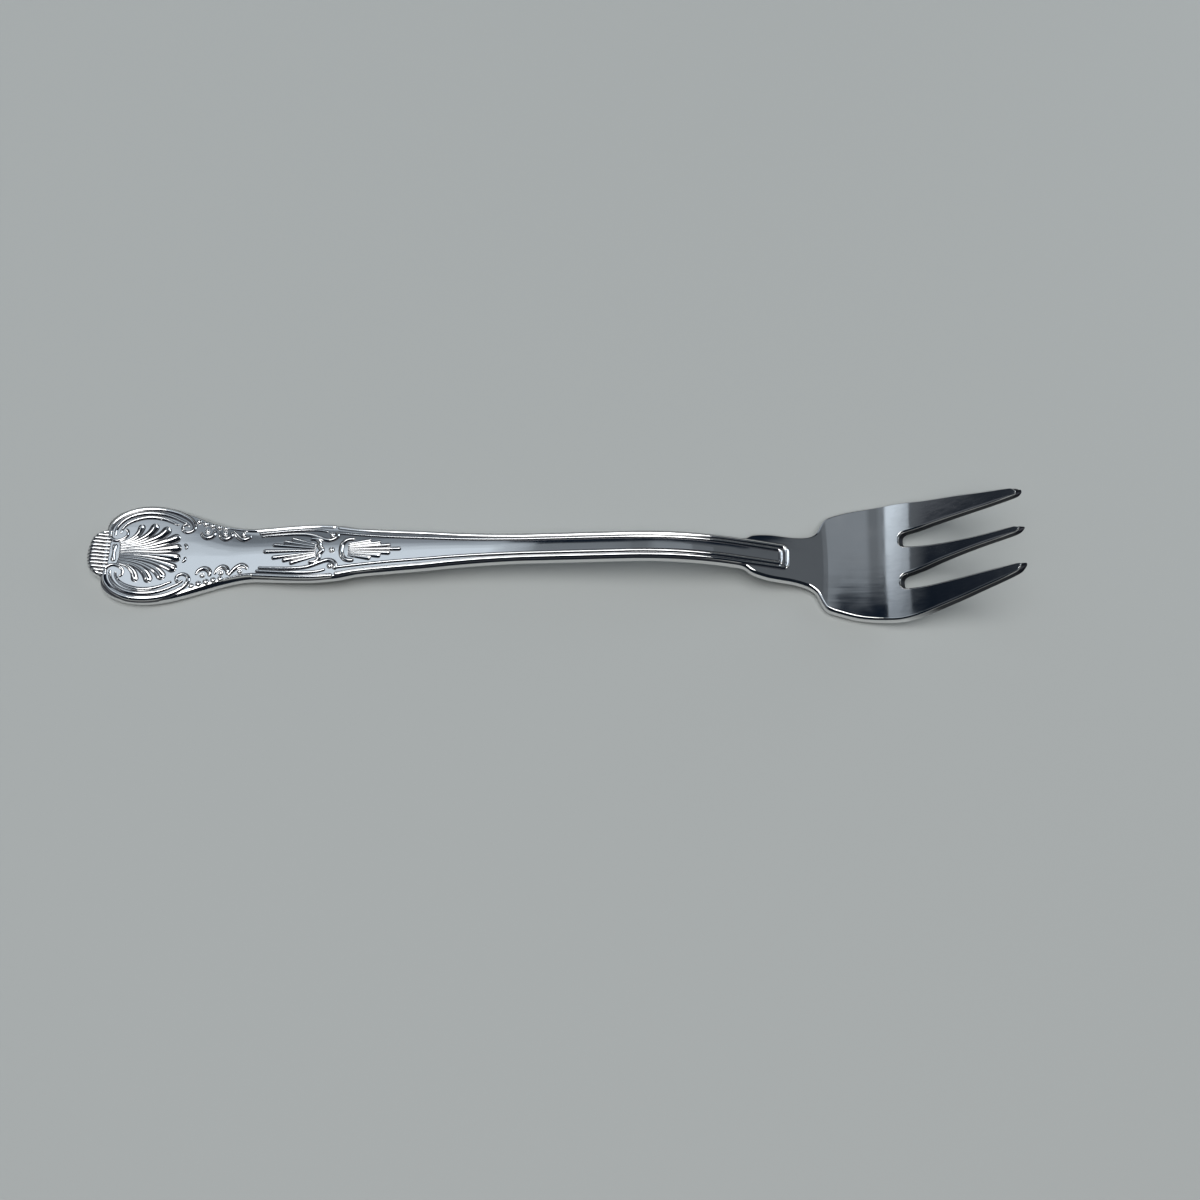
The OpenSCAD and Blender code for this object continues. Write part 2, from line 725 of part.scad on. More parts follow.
placed() handle_end();
placed() handle_waist();
placed() stem();
placed() neck();
placed() head();
placed() tine_left();
placed() tine_middle();
placed() tine_right();
placed() heel_fluting();
placed() shell();
placed() scroll_left();
placed() scroll_right();
placed() leaf_spray_left();
placed() leaf_spray_right();
placed() waist_thread_left();
placed() waist_thread_right();
placed() lower_palmette();
placed() bead();
placed() upper_palmette();
placed() stem_thread_outer();
placed() stem_thread_inner();
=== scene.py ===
import math

import bpy
import numpy as np
from mathutils import Matrix, Vector
from mathutils.geometry import delaunay_2d_cdt


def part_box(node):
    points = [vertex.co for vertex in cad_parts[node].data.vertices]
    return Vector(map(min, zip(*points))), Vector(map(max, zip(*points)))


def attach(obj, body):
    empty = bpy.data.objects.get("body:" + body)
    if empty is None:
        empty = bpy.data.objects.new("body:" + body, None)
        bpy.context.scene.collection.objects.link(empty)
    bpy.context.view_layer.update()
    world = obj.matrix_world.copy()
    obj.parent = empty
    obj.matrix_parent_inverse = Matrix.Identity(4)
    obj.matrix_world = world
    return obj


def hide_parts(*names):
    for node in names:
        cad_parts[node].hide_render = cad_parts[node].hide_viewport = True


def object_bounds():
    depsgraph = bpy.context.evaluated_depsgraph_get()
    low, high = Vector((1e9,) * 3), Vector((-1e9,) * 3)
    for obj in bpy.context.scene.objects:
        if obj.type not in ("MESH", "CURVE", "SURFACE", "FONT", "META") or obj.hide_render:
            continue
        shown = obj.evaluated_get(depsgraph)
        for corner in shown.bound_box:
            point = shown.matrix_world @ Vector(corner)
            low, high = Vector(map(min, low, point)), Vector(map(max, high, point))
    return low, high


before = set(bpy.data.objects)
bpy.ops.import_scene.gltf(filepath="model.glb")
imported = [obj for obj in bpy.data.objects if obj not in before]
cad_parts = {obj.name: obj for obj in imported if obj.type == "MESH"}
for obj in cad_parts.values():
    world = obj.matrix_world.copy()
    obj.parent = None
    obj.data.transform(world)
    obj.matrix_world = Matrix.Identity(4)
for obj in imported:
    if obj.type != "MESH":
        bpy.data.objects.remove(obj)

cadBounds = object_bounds()
print("frame loaded:", len(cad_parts), "nodes")

# All shapes are worked out in millimetres, with x from the heel of the handle.
# The CAD boxes give the stations along the fork and its greatest widths.
millimetre = 0.001
tiny = 1e-9
heelX = cadBounds[0][0]


def farEnd(node):
    return (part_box(node)[1].x - heelX) / millimetre


def halfWidthOf(node):
    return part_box(node)[1].y / millimetre


plan = {
    "heelX": -0.75,  # the polished heel rolls a little past the solid's
    "lobeX": 2.3,
    "shoulderShare": 0.34,
    "creaseShare": 0.76,
    "taperLength": 30.0,
    "lobeWidth": 8.2,
    "waistWidth": 9.1,
    "stemWidth": 4.9,
    "neckWidth": 8.0,
}
taperLength = plan["taperLength"]
station = {
    "heel": plan["heelX"],
    "lobe": plan["lobeX"],
    "shoulder": farEnd("handle_end") * plan["shoulderShare"],
    "crease": farEnd("handle_end") * plan["creaseShare"],
    "waist": farEnd("handle_end"),
    "stem": farEnd("handle_waist"),
    "neck": farEnd("stem"),
    "head": farEnd("neck"),
    "root": farEnd("head"),
    "tip": farEnd("tine_left"),
}
half = {
    "lobe": plan["lobeWidth"] / 2,
    "end": halfWidthOf("handle_end"),
    "waist": plan["waistWidth"] / 2,
    "bulge": halfWidthOf("handle_waist"),
    "stem": plan["stemWidth"] / 2,
    "neck": plan["neckWidth"] / 2,
    "head": halfWidthOf("head"),
}


def mix(a, b, t):
    return a + (b - a) * t


def unit(rows):
    return rows / np.linalg.norm(rows, axis=-1, keepdims=True)


# Smooth curve through a table of places, which never overshoots them
def smoothCurve(table, x):
    xs, ys = np.array(table, float).T
    rises = np.diff(ys) / np.diff(xs)
    before, after = rises[:-1], rises[1:]
    same = before * after > 0
    slopes = np.concatenate([
        rises[:1], np.where(same, 2 * before * after / np.where(same, before + after, 1), 0), rises[-1:]
    ])
    x = np.asarray(x, float)
    i = np.clip(np.searchsorted(xs, x, side="right") - 1, 0, len(xs) - 2)
    run = xs[i + 1] - xs[i]
    t = np.clip((x - xs[i]) / run, 0, 1)
    u = 1 - t
    ends = ys[i] * (1 + 2 * t) * u * u + ys[i + 1] * (3 - 2 * t) * t * t
    return ends + slopes[i] * run * t * u * u - slopes[i + 1] * run * t * t * u


# Side view: straight runs with a round bend at each corner
sideView = {
    "endThickness": 2.2,
    "crestHeight": 8.75,
    "headThickness": 1.9,
    "rootThickness": 1.6,
    "tipHeight": 15.9,
    "tipThickness": 1.2,
    "stemThickness": 2.6,
    "bends": [60.0, 44.0, 8.0, 17.5],
    "crestSetback": 9.0,
    "footShare": 0.14,
    "curlShare": 0.06,
    "heelRoll": 1.25,
    "headDish": 0.35,
    "crown": 0.42,
    "tipRun": 1.6,
    "tipThinning": 0.12,
    "backThinning": 0.096,
}
crestX = station["neck"] - sideView["crestSetback"]
footX = mix(station["head"], station["root"], sideView["footShare"])
curlX = station["root"] - (station["tip"] - station["root"]) * sideView["curlShare"]
sideCorners = np.array([
    [0, sideView["endThickness"]],
    [station["crease"], sideView["endThickness"]],
    [crestX, sideView["crestHeight"]],
    [footX, sideView["headThickness"]],
    [curlX, sideView["rootThickness"]],
    [station["tip"], sideView["tipHeight"]],
])


def sideLine(x):
    x = np.asarray(x, float)
    z = np.interp(x, sideCorners[:, 0], sideCorners[:, 1])
    for i, radius in enumerate(sideView["bends"], 1):
        before, here, after = sideCorners[i - 1], sideCorners[i], sideCorners[i + 1]
        a = math.atan2(*(here - before)[::-1])
        b = math.atan2(*(after - here)[::-1])
        reach = radius * math.tan(abs(b - a) / 2)
        way = 1 if b > a else -1
        start = here - reach * np.array([math.cos(a), math.sin(a)])
        centre = start + way * radius * np.array([-math.sin(a), math.cos(a)])
        arc = centre[1] - way * np.sqrt(np.maximum(radius**2 - (x - centre[0]) ** 2, 0))
        inside = (x > here[0] - reach * math.cos(a)) & (x < here[0] + reach * math.cos(b))
        z = np.where(inside, arc, z)
    return z


def sideSlope(x):
    step = 0.02
    return (sideLine(x + step) - sideLine(x - step)) / (2 * step)


def heelDrop(x):
    roll = sideView["heelRoll"]
    left = np.clip(roll + station["heel"] - x, 0, roll)
    return roll - np.sqrt(np.maximum(roll**2 - left**2, 0))


def tipShare(x):
    return np.clip((x - station["tip"] + sideView["tipRun"]) / sideView["tipRun"], 0, 1) ** 3


# Outline of the handle and head, as half widths.
# Each table gives places along a stretch, and how far the width has changed there.
lobeShares = [(0, 0), (0.04, 0.22), (0.12, 0.4), (0.24, 0.57), (0.4, 0.74), (0.6, 0.88), (0.8, 0.96), (1, 1)]
shoulderStart = 0.17


def lobeHalf(x):
    table = [(mix(station["heel"], station["lobe"], s), half["lobe"] * t) for s, t in lobeShares]
    return smoothCurve(table, x)


def shoulderHalf(x):
    start = mix(half["lobe"], half["end"], shoulderStart)
    t = (station["shoulder"] - x) / (station["shoulder"] - station["lobe"])
    return start + (half["end"] - start) * np.sqrt(np.maximum(1 - t * t, 0))


def easeHalf(x):
    t = (x - station["shoulder"]) / (station["waist"] - station["shoulder"])
    return mix(half["waist"], half["end"], (1 + np.cos(np.pi * t)) / 2)


bulgeShares = [(0, 0), (0.16, 0.26), (0.5, 0.85), (0.72, 1)]
taperShares = [(0, 0.92), (0.13, 0.65), (0.3, 0.5), (0.47, 0.36), (0.63, 0.2), (0.8, 0.075), (1, 0)]
neckShares = [(0, 0), (0.08, 0.12), (0.15, 0.5), (0.26, 0.76), (0.48, 0.97), (0.7, 1), (0.91, 1.2), (1, 1.44)]
headShares = [
    (0.06, 0.21), (0.115, 0.46), (0.17, 0.645), (0.3, 0.76), (0.54, 0.896), (0.83, 0.975), (0.96, 1), (1, 1)
]
bodyRuns = [
    (station["waist"], station["stem"], half["waist"], half["bulge"], bulgeShares),
    (station["stem"], station["stem"] + taperLength, half["stem"], half["bulge"], taperShares),
    (station["neck"], station["head"], half["stem"], half["neck"], neckShares),
    (station["head"], station["root"], half["neck"], half["head"], headShares),
]
bodyTable = [(mix(a, b, s), mix(c, d, t)) for a, b, c, d, shares in bodyRuns for s, t in shares]


def halfWidth(x):
    x = np.asarray(x, float)
    return np.select(
        [x <= station["lobe"], x <= station["shoulder"], x <= station["waist"]],
        [lobeHalf(x), shoulderHalf(x), easeHalf(x)],
        smoothCurve(bodyTable, x),
    )


# Thickness, and how the faces curve across the fork
thicknessTable = [
    (0, sideView["endThickness"]),
    (station["crease"], sideView["endThickness"]),
    (station["stem"] + taperLength, sideView["stemThickness"]),
    (station["neck"], sideView["stemThickness"]),
    (footX, sideView["headThickness"]),
    (curlX, sideView["rootThickness"]),
    (station["tip"], sideView["tipThickness"]),
]
dishStart = 0.4
dishTable = [
    (station["head"], 0), (mix(station["head"], station["root"], dishStart), 1), (station["root"], 1),
    (station["tip"], 0.4)
]
bellyTable = [
    (0, 0), (station["crease"], 0), (station["stem"], 0.2), (station["neck"], 0.25), (station["head"], 0.12),
    (footX, 0), (station["tip"], 0)
]
crownTable = [
    (0, 0), (2, 0.1), (12, 0.3), (17, 0.6), (22, 0.8), (station["waist"], 1), (station["stem"], 1),
    (50, 0.6), (70, 0.35), (station["neck"], 0.3), (station["head"], 0), (station["tip"], 0)
]

# The fluted end of the handle is a low roll across the fork
rollTable = [(station["heel"], 0), (0.3, 0.4), (1.1, 0.36), (2.9, 0), (3.6, 0), (station["tip"], 0)]


def dish(x, y):
    return sideView["headDish"] * smoothCurve(dishTable, x) * (y / half["head"]) ** 2


def topFace(x, y):
    across = np.clip(1 - (y / halfWidth(x)) ** 2, 0, 1)
    crown = sideView["crown"] * smoothCurve(crownTable, x) * across
    thinning = sideView["tipThinning"] * tipShare(x)
    return sideLine(x) + smoothCurve(rollTable, x) - heelDrop(x) - thinning + dish(x, y) + crown


def backFace(x, y):
    depth = smoothCurve(thicknessTable, x) * np.sqrt(1 + sideSlope(x) ** 2)
    low = np.maximum(sideLine(x) - depth, 0)
    low = np.where(x < station["crease"], 0, low)
    belly = smoothCurve(bellyTable, x) * depth * np.clip((y / halfWidth(x)) ** 2, 0, 1)
    return low + belly + dish(x, y) + sideView["backThinning"] * tipShare(x)


def faceNormals(face, x, y, up):
    step = 0.03
    dx = (face(x + step, y) - face(x - step, y)) / (2 * step)
    dy = (face(x, y + step) - face(x, y - step)) / (2 * step)
    return unit(np.stack([-dx, -dy, np.ones_like(dx)], -1)) * up


# Outline of the left half, from the middle of the heel round to the tip of the middle tine
tines = {
    "slotWidth": 2.1,
    "middleRoot": 5.3,
    "tipSpread": 12.3,
    "tipWidth": 1.0,
    "slotCorner": 0.75,
    "setback": 0.5,
}
outlineLook = {
    "step": 0.26,
    "fineStep": 0.02,
    "fewestSteps": 8,
    "cornerPasses": 3,
    "heelPasses": 14,
    "heelReach": 10,
}
outerEdgeShares = [
    (0, 0), (0.07, 0.03), (0.33, 0.25), (0.5, 0.4), (0.65, 0.56), (0.81, 0.72), (0.92, 0.86), (1, 1)
]
innerEdgeShares = [(0, 0), (0.1, 0.16), (0.27, 0.45), (0.5, 0.63), (0.7, 0.72), (1, 1)]
middleEdgeShares = [(0, 0), (0.17, 0.26), (0.3, 0.47), (0.47, 0.66), (0.65, 0.8), (0.88, 0.9), (1, 1)]
slotCut = station["root"] + tines["slotCorner"]


def tineEdge(shares, x, rootY, tipY):
    return mix(rootY, tipY, smoothCurve(shares, (x - station["root"]) / (station["tip"] - station["root"])))


def outerEdge(x):
    return tineEdge(outerEdgeShares, x, half["head"], (tines["tipSpread"] + tines["tipWidth"]) / 2)


def innerEdge(x):
    slotY = tines["middleRoot"] / 2 + tines["slotWidth"]
    return tineEdge(innerEdgeShares, x, slotY, (tines["tipSpread"] - tines["tipWidth"]) / 2)


def middleEdge(x):
    return tineEdge(middleEdgeShares, x, tines["middleRoot"] / 2, tines["tipWidth"] / 2)


def spaced(points, step):
    points = np.array(points, float)
    along = np.concatenate([[0], np.cumsum(np.linalg.norm(np.diff(points, axis=0), axis=1))])
    count = max(2, int(math.ceil(along[-1] / step)) + 1)
    at = np.linspace(0, along[-1], count)
    return np.stack([np.interp(at, along, points[:, 0]), np.interp(at, along, points[:, 1])], 1)


def arcPoints(centre, radius, start, end, count=24):
    t = np.linspace(start, end, count)
    return [(centre[0] + radius * math.cos(a), centre[1] + radius * math.sin(a)) for a in t]


def edgeRun(a, b, edge):
    x = np.linspace(a, b, max(outlineLook["fewestSteps"], int(abs(b - a) / outlineLook["fineStep"])))
    return np.stack([x, edge(x)], 1)


def softened(rows):
    return rows[1:-1] * 0.5 + (rows[:-2] + rows[2:]) * 0.25


def leftOutline():
    r = tines["tipWidth"] / 2
    endX = station["tip"] - r - tines["setback"]
    c = tines["slotCorner"]
    quarter = math.pi / 2
    heel = np.concatenate([[(station["heel"], 0)], edgeRun(station["heel"], station["lobe"], lobeHalf)])
    shoulder = edgeRun(station["lobe"], station["shoulder"], shoulderHalf)
    side = edgeRun(station["head"], station["root"], halfWidth)
    runs = [
        np.concatenate([heel, shoulder, edgeRun(station["shoulder"], station["waist"], easeHalf)]),
        edgeRun(station["waist"], station["stem"], halfWidth),
        edgeRun(station["stem"], station["neck"], halfWidth),
        edgeRun(station["neck"], station["head"], halfWidth),
        np.concatenate([side, edgeRun(station["root"], slotCut, outerEdge)]),
        np.concatenate([
            edgeRun(slotCut, endX, outerEdge),
            arcPoints((endX, tines["tipSpread"] / 2), r, quarter, -quarter),
            edgeRun(endX, slotCut, innerEdge),
        ]),
        np.concatenate([
            arcPoints((slotCut, innerEdge(slotCut) - c), c, quarter, 2 * quarter),
            arcPoints((slotCut, middleEdge(slotCut) + c), c, 2 * quarter, 3 * quarter),
        ]),
        np.concatenate([edgeRun(slotCut, endX, middleEdge), arcPoints((endX, 0), r, quarter, 0)]),
    ]
    names = ["end", "waist", "stem", "neck", "headSide", "outerTine", "slot", "middleTine"]
    points, spans = [], {}
    for name, run in zip(names, runs):
        fine = spaced(run, outlineLook["step"])
        start = max(len(points) - 1, 0)
        points.extend(fine if not points else fine[1:])
        spans[name] = (start, len(points) - 1)
    points = np.array(points)
    for _ in range(outlineLook["cornerPasses"]):  # takes the sharpness off the corners of the outline
        points[1:-1] = softened(points)
    way = np.gradient(points, axis=0)
    normals = unit(np.stack([-way[:, 1], way[:, 0]], 1))
    nearHeel = (points[1:-1, 0] < outlineLook["heelReach"])[:, None]
    for _ in range(outlineLook["heelPasses"]):  # the edge of the heel turns more gently than its outline
        normals[1:-1] = np.where(nearHeel, softened(normals), normals[1:-1])
    normals = unit(normals)
    normals[0] = (-1, 0)
    normals[-1] = (1, 0)
    return points, normals, spans


# Rolled edge of the blank, from its top face round the wall to its back
edgeShape = {
    "topAcross": [
        (0, 0.5), (12, 0.6), (18, 0.8), (22, 0.85), (station["waist"], 0.58), (station["stem"], 0.52),
        (60, 0.5), (station["neck"], 0.5), (station["head"], 0.5), (station["root"], 0.4),
        (station["tip"] - 4, 0.4), (station["tip"] - 1.5, 0.28), (station["tip"], 0.24)
    ],
    "topUp": [
        (0, 0.3), (4, 0.3), (12, 0.4), (18, 0.55), (22, 0.6), (station["waist"], 0.45),
        (station["neck"], 0.42), (station["head"], 0.45), (station["root"], 0.5),
        (station["tip"] - 1.5, 0.5), (station["tip"], 0.6)
    ],
    "topSquare": 1.5,
    "backAcross": [
        (0, 0.8), (6, 1.2), (station["waist"], 1.1), (station["stem"], 1.0), (station["neck"], 0.9),
        (station["head"], 0.7), (station["root"], 0.4), (station["tip"] - 1.5, 0.24), (station["tip"], 0.22)
    ],
    "backUp": [
        (0, 0.45), (6, 0.9), (station["stem"], 0.95), (station["neck"], 0.9), (station["head"], 0.7),
        (station["root"], 0.5), (station["tip"], 0.35)
    ],
    "arcSteps": 7,
}


# The walls of the head and tines stand square to the sheet,
# so their lower edge lies further on than their upper one
def wallLean(x):
    slope = sideSlope(x)
    share = np.clip((x - station["head"]) / (station["root"] - station["head"]), 0, 1)
    return smoothCurve(thicknessTable, x) * np.clip(slope, 0, 1) / np.sqrt(1 + slope**2) * share


def edgeLoops(points, normals):
    x = points[:, 0]
    topSize = smoothCurve(edgeShape["topAcross"], x)
    drop = smoothCurve(edgeShape["topUp"], x)
    across = smoothCurve(edgeShape["backAcross"], x)
    up = smoothCurve(edgeShape["backUp"], x)
    loops = []
    turn = np.linspace(0, math.pi / 2, edgeShape["arcSteps"])
    for a in turn:
        out = 1 - math.sin(a) ** edgeShape["topSquare"]
        down = 1 - math.cos(a) ** edgeShape["topSquare"]
        p = points - normals * (topSize * out)[:, None]
        loops.append(np.column_stack([p, topFace(p[:, 0], p[:, 1]) - drop * down]))
    for a in turn:
        p = points - normals * (across * (1 - math.cos(a)))[:, None]
        p[:, 0] += wallLean(p[:, 0])
        loops.append(np.column_stack([p, backFace(p[:, 0], p[:, 1]) + up * (1 - math.sin(a))]))
    return np.array(loops)


# How far the rolled edge lies below the top face at a place near the rim
def rimDrop(x, y):
    places = np.column_stack([x.ravel(), np.abs(y.ravel())])
    nearest = np.empty(len(places), int)
    batch = 2000
    for start in range(0, len(places), batch):
        gaps = places[start:start + batch, None] - outline[None]
        nearest[start:start + batch] = np.argmin((gaps**2).sum(axis=2), axis=1)
    inside = ((outline[nearest] - places) * outlineNormals[nearest]).sum(axis=1)
    share = np.clip(1 - inside / smoothCurve(edgeShape["topAcross"], places[:, 0]), 0, 1)
    sine = share ** (1 / edgeShape["topSquare"])
    drop = 1 - (1 - sine**2) ** (edgeShape["topSquare"] / 2)
    return (smoothCurve(edgeShape["topUp"], places[:, 0]) * drop).reshape(x.shape)


def gridNormals(grid):
    across = np.gradient(grid, axis=0)
    along = np.gradient(grid, axis=1)
    n = np.cross(along, across)
    return n / np.maximum(np.linalg.norm(n, axis=2, keepdims=True), tiny)


outline, outlineNormals, spans = leftOutline()
edge = edgeLoops(outline, outlineNormals)
edgeNormals = gridNormals(edge)
edgeNormals[0] = faceNormals(topFace, edge[0, :, 0], edge[0, :, 1], 1)
edgeNormals[-1] = faceNormals(backFace, edge[-1, :, 0], edge[-1, :, 1], -1)
edgeNormals[:, [0, -1], 1] = 0
mirrorY = np.array([1, -1, 1])

# The cut walls of the tines are darkened: partly a duller cut finish, partly a painted dark reflection.
# The rolled edges above them stay polished. "down" says how dark each loop of the edge is, and on the outside
# of the tines it sets in over "lead".
cutWall = {"down": [0, 0, 0, 0.2, 0.7, 1, 1, 1, 1, 1, 0.8, 0.5, 0.2, 0], "lead": 5.0, "facingIn": -0.3}
outerStart, outerEnd = spans["outerTine"]
wallShares = np.where(np.arange(len(outline)) >= spans["slot"][0], 1.0, 0.0)
outerPart = slice(outerStart, outerEnd + 1)
wallShares[outerPart] = np.clip((outline[outerPart, 0] - station["root"]) / cutWall["lead"], 0, 1)
facesIn = outlineNormals[outerPart, 1] < cutWall["facingIn"]
wallShares[outerPart] = np.where(facesIn, 1, wallShares[outerPart])
# Per point darkness of the edge loops: duller cut finish plus painted dark reflection
cutWallFinishAndShade = np.array(cutWall["down"])[:, None] * wallShares


def chain(name, side, backwards=False):
    a, b = spans[name]
    pick = slice(a, b + 1)
    points, normals, grime = edge[:, pick], edgeNormals[:, pick], cutWallFinishAndShade[:, pick]
    if side < 0:
        points, normals = points * mirrorY, normals * mirrorY
    if backwards:
        points, normals, grime = points[:, ::-1], normals[:, ::-1], grime[:, ::-1]
    return points, normals, grime


def joined(*parts):
    return tuple(np.concatenate([parts[0][i]] + [p[i][:, 1:] for p in parts[1:]], 1) for i in range(3))


class Shape:
    # Gathers points with their normals, their painted shade and dark cut finish, and faces, for one closed
    # piece
    def __init__(self):
        self.points, self.normals, self.grime, self.faces, self.flat = [], [], [], [], []

    def add(self, points, normals, grime=None):
        start = len(self.points)
        self.points.extend(np.asarray(points).tolist())
        self.normals.extend(np.asarray(normals).tolist())
        self.grime.extend([0.0] * len(points) if grime is None else np.asarray(grime).tolist())
        return list(range(start, len(self.points)))

    def face(self, corners, flat=False):
        corners = [c for i, c in enumerate(corners) if c != corners[i - 1]]
        if len(corners) > 2:
            self.faces.append(corners)
            self.flat.append(flat)


def placed(points):
    points = np.asarray(points, float) * millimetre
    points[:, 0] += heelX
    return points


def makePiece(name, shape, node, material):
    mesh = bpy.data.meshes.new(name)
    points = placed(shape.points)
    mesh.from_pydata(points.tolist(), [], shape.faces)
    mesh.polygons.foreach_set("use_smooth", [True] * len(mesh.polygons))
    corners = np.empty(len(mesh.loops), int)
    mesh.loops.foreach_get("vertex_index", corners)
    normals = np.array(shape.normals)[corners]
    for polygon, flat in zip(mesh.polygons, shape.flat):
        if flat:
            normals[polygon.loop_start:polygon.loop_start + polygon.loop_total] = polygon.normal
    mesh.normals_split_custom_set(normals.tolist())
    # Per point painted shade and dark cut finish, which the material reads
    mesh.attributes.new("grime", "FLOAT", "POINT").data.foreach_set("value", shape.grime)
    mesh.materials.append(material)
    piece = bpy.data.objects.new(name, mesh)
    bpy.context.scene.collection.objects.link(piece)
    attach(piece, "root")
    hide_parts(node)
    return piece


# Fills the plan inside a ring of points with small triangles that lie on the face
def fillFace(shape, border, face, up, grid):
    rimGap = 0.4 * grid
    plan = [Vector((shape.points[i][0], shape.points[i][1])) for i in border]
    ring = np.array([(p.x, p.y) for p in plan])
    xs = np.arange(ring[:, 0].min() + grid / 2, ring[:, 0].max(), grid)
    ys = np.arange(ring[:, 1].min() + grid / 2, ring[:, 1].max(), grid)
    gx, gy = [g.ravel() for g in np.meshgrid(xs, ys)]
    a, b = ring, np.roll(ring, -1, axis=0)
    crossings = np.zeros(len(gx), int)
    nearest = np.full(len(gx), np.inf)
    for (ax, ay), (bx, by) in zip(a, b):
        hit = (ay > gy) != (by > gy)
        if ay != by:
            crossings += hit & (gx < ax + (gy - ay) * (bx - ax) / (by - ay))
        along = (gx - ax) * (bx - ax) + (gy - ay) * (by - ay)
        t = np.clip(along / max((bx - ax) ** 2 + (by - ay) ** 2, tiny**2), 0, 1)
        nearest = np.minimum(nearest, np.hypot(gx - ax - t * (bx - ax), gy - ay - t * (by - ay)))
    keep = (crossings % 2 == 1) & (nearest > rimGap)
    gx, gy = gx[keep], gy[keep]
    inner = []
    if len(gx):
        inner = shape.add(np.column_stack([gx, gy, face(gx, gy)]), faceNormals(face, gx, gy, up))
    verts = plan + [Vector((px, py)) for px, py in zip(gx, gy)]
    index = border + inner
    insideOnly, mergeGap = 1, 1e-7
    made = delaunay_2d_cdt(verts, [], [list(range(len(border)))[::-1]], insideOnly, mergeGap)
    triangles, origins = made[2], made[3]
    for triangle in triangles:
        corners = [index[origins[v][0]] for v in triangle]
        shape.face(corners if up > 0 else corners[::-1])


# A piece of the blank: its rolled edges, the cut faces that join them, and the faces above and below
def blankPiece(name, node, chains, material, grid):
    shape = Shape()
    chainLoops = []
    for points, normals, grime in chains:
        chainLoops.append([shape.add(points[k], normals[k], grime[k]) for k in range(len(points))])
    top, back = [], []
    for i, loops in enumerate(chainLoops):
        for upper, lower in zip(loops[:-1], loops[1:]):
            for j in range(len(upper) - 1):
                shape.face([upper[j], upper[j + 1], lower[j + 1], lower[j]])
        following = chainLoops[(i + 1) % len(chainLoops)]
        top += loops[0]
        back += loops[-1]
        start = np.array([shape.points[loop[-1]][:2] for loop in loops])
        end = np.array([shape.points[loop[0]][:2] for loop in following])
        count = max(2, int(math.hypot(*(end[0] - start[0])) / grid) + 1)
        t = np.linspace(0, 1, count + 1)[1:-1, None]
        cutLines = []
        for k, face, up in ((0, topFace, 1), (-1, backFace, -1)):
            x, y = (start[k] * (1 - t) + end[k] * t).T
            cutLines.append(shape.add(np.column_stack([x, y, face(x, y)]), faceNormals(face, x, y, up)))
        topLine, backLine = cutLines
        top += topLine
        back += backLine
        cap = [loop[-1] for loop in loops] + backLine + [loop[0] for loop in following][::-1] + topLine[::-1]
        shape.face(cap[::-1], flat=True)
    fillFace(shape, top, topFace, 1, grid)
    fillFace(shape, back, backFace, -1, grid)
    return makePiece(name, shape, node, material)


# Finishes
steelLook = {
    "colour": (0.79, 0.79, 0.79, 1),
    "handleRoughness": (0.04, 0.1),
    "headRoughness": (0.06, 0.14),
    "smudgeScale": 240,
    "smudgeDetail": 4,
    "smudgeRange": (0.35, 0.7),
    "waveDepth": 0.000008,
    "waveScale": (45, 620, 620),
    "waveDetail": 2,
}
# Painted shade: the colour that the grooves of the relief are darkened to
grooveLook = {"colour": (0.045, 0.047, 0.055, 1), "roughness": 0.4, "metallic": 0.6}
# Cut walls of the tines: a duller cut finish, darkened further as a painted dark reflection
cutFinishAndShadeLook = {"colour": (0.012, 0.013, 0.018, 1), "roughness": 0.32, "metallic": 0.6}


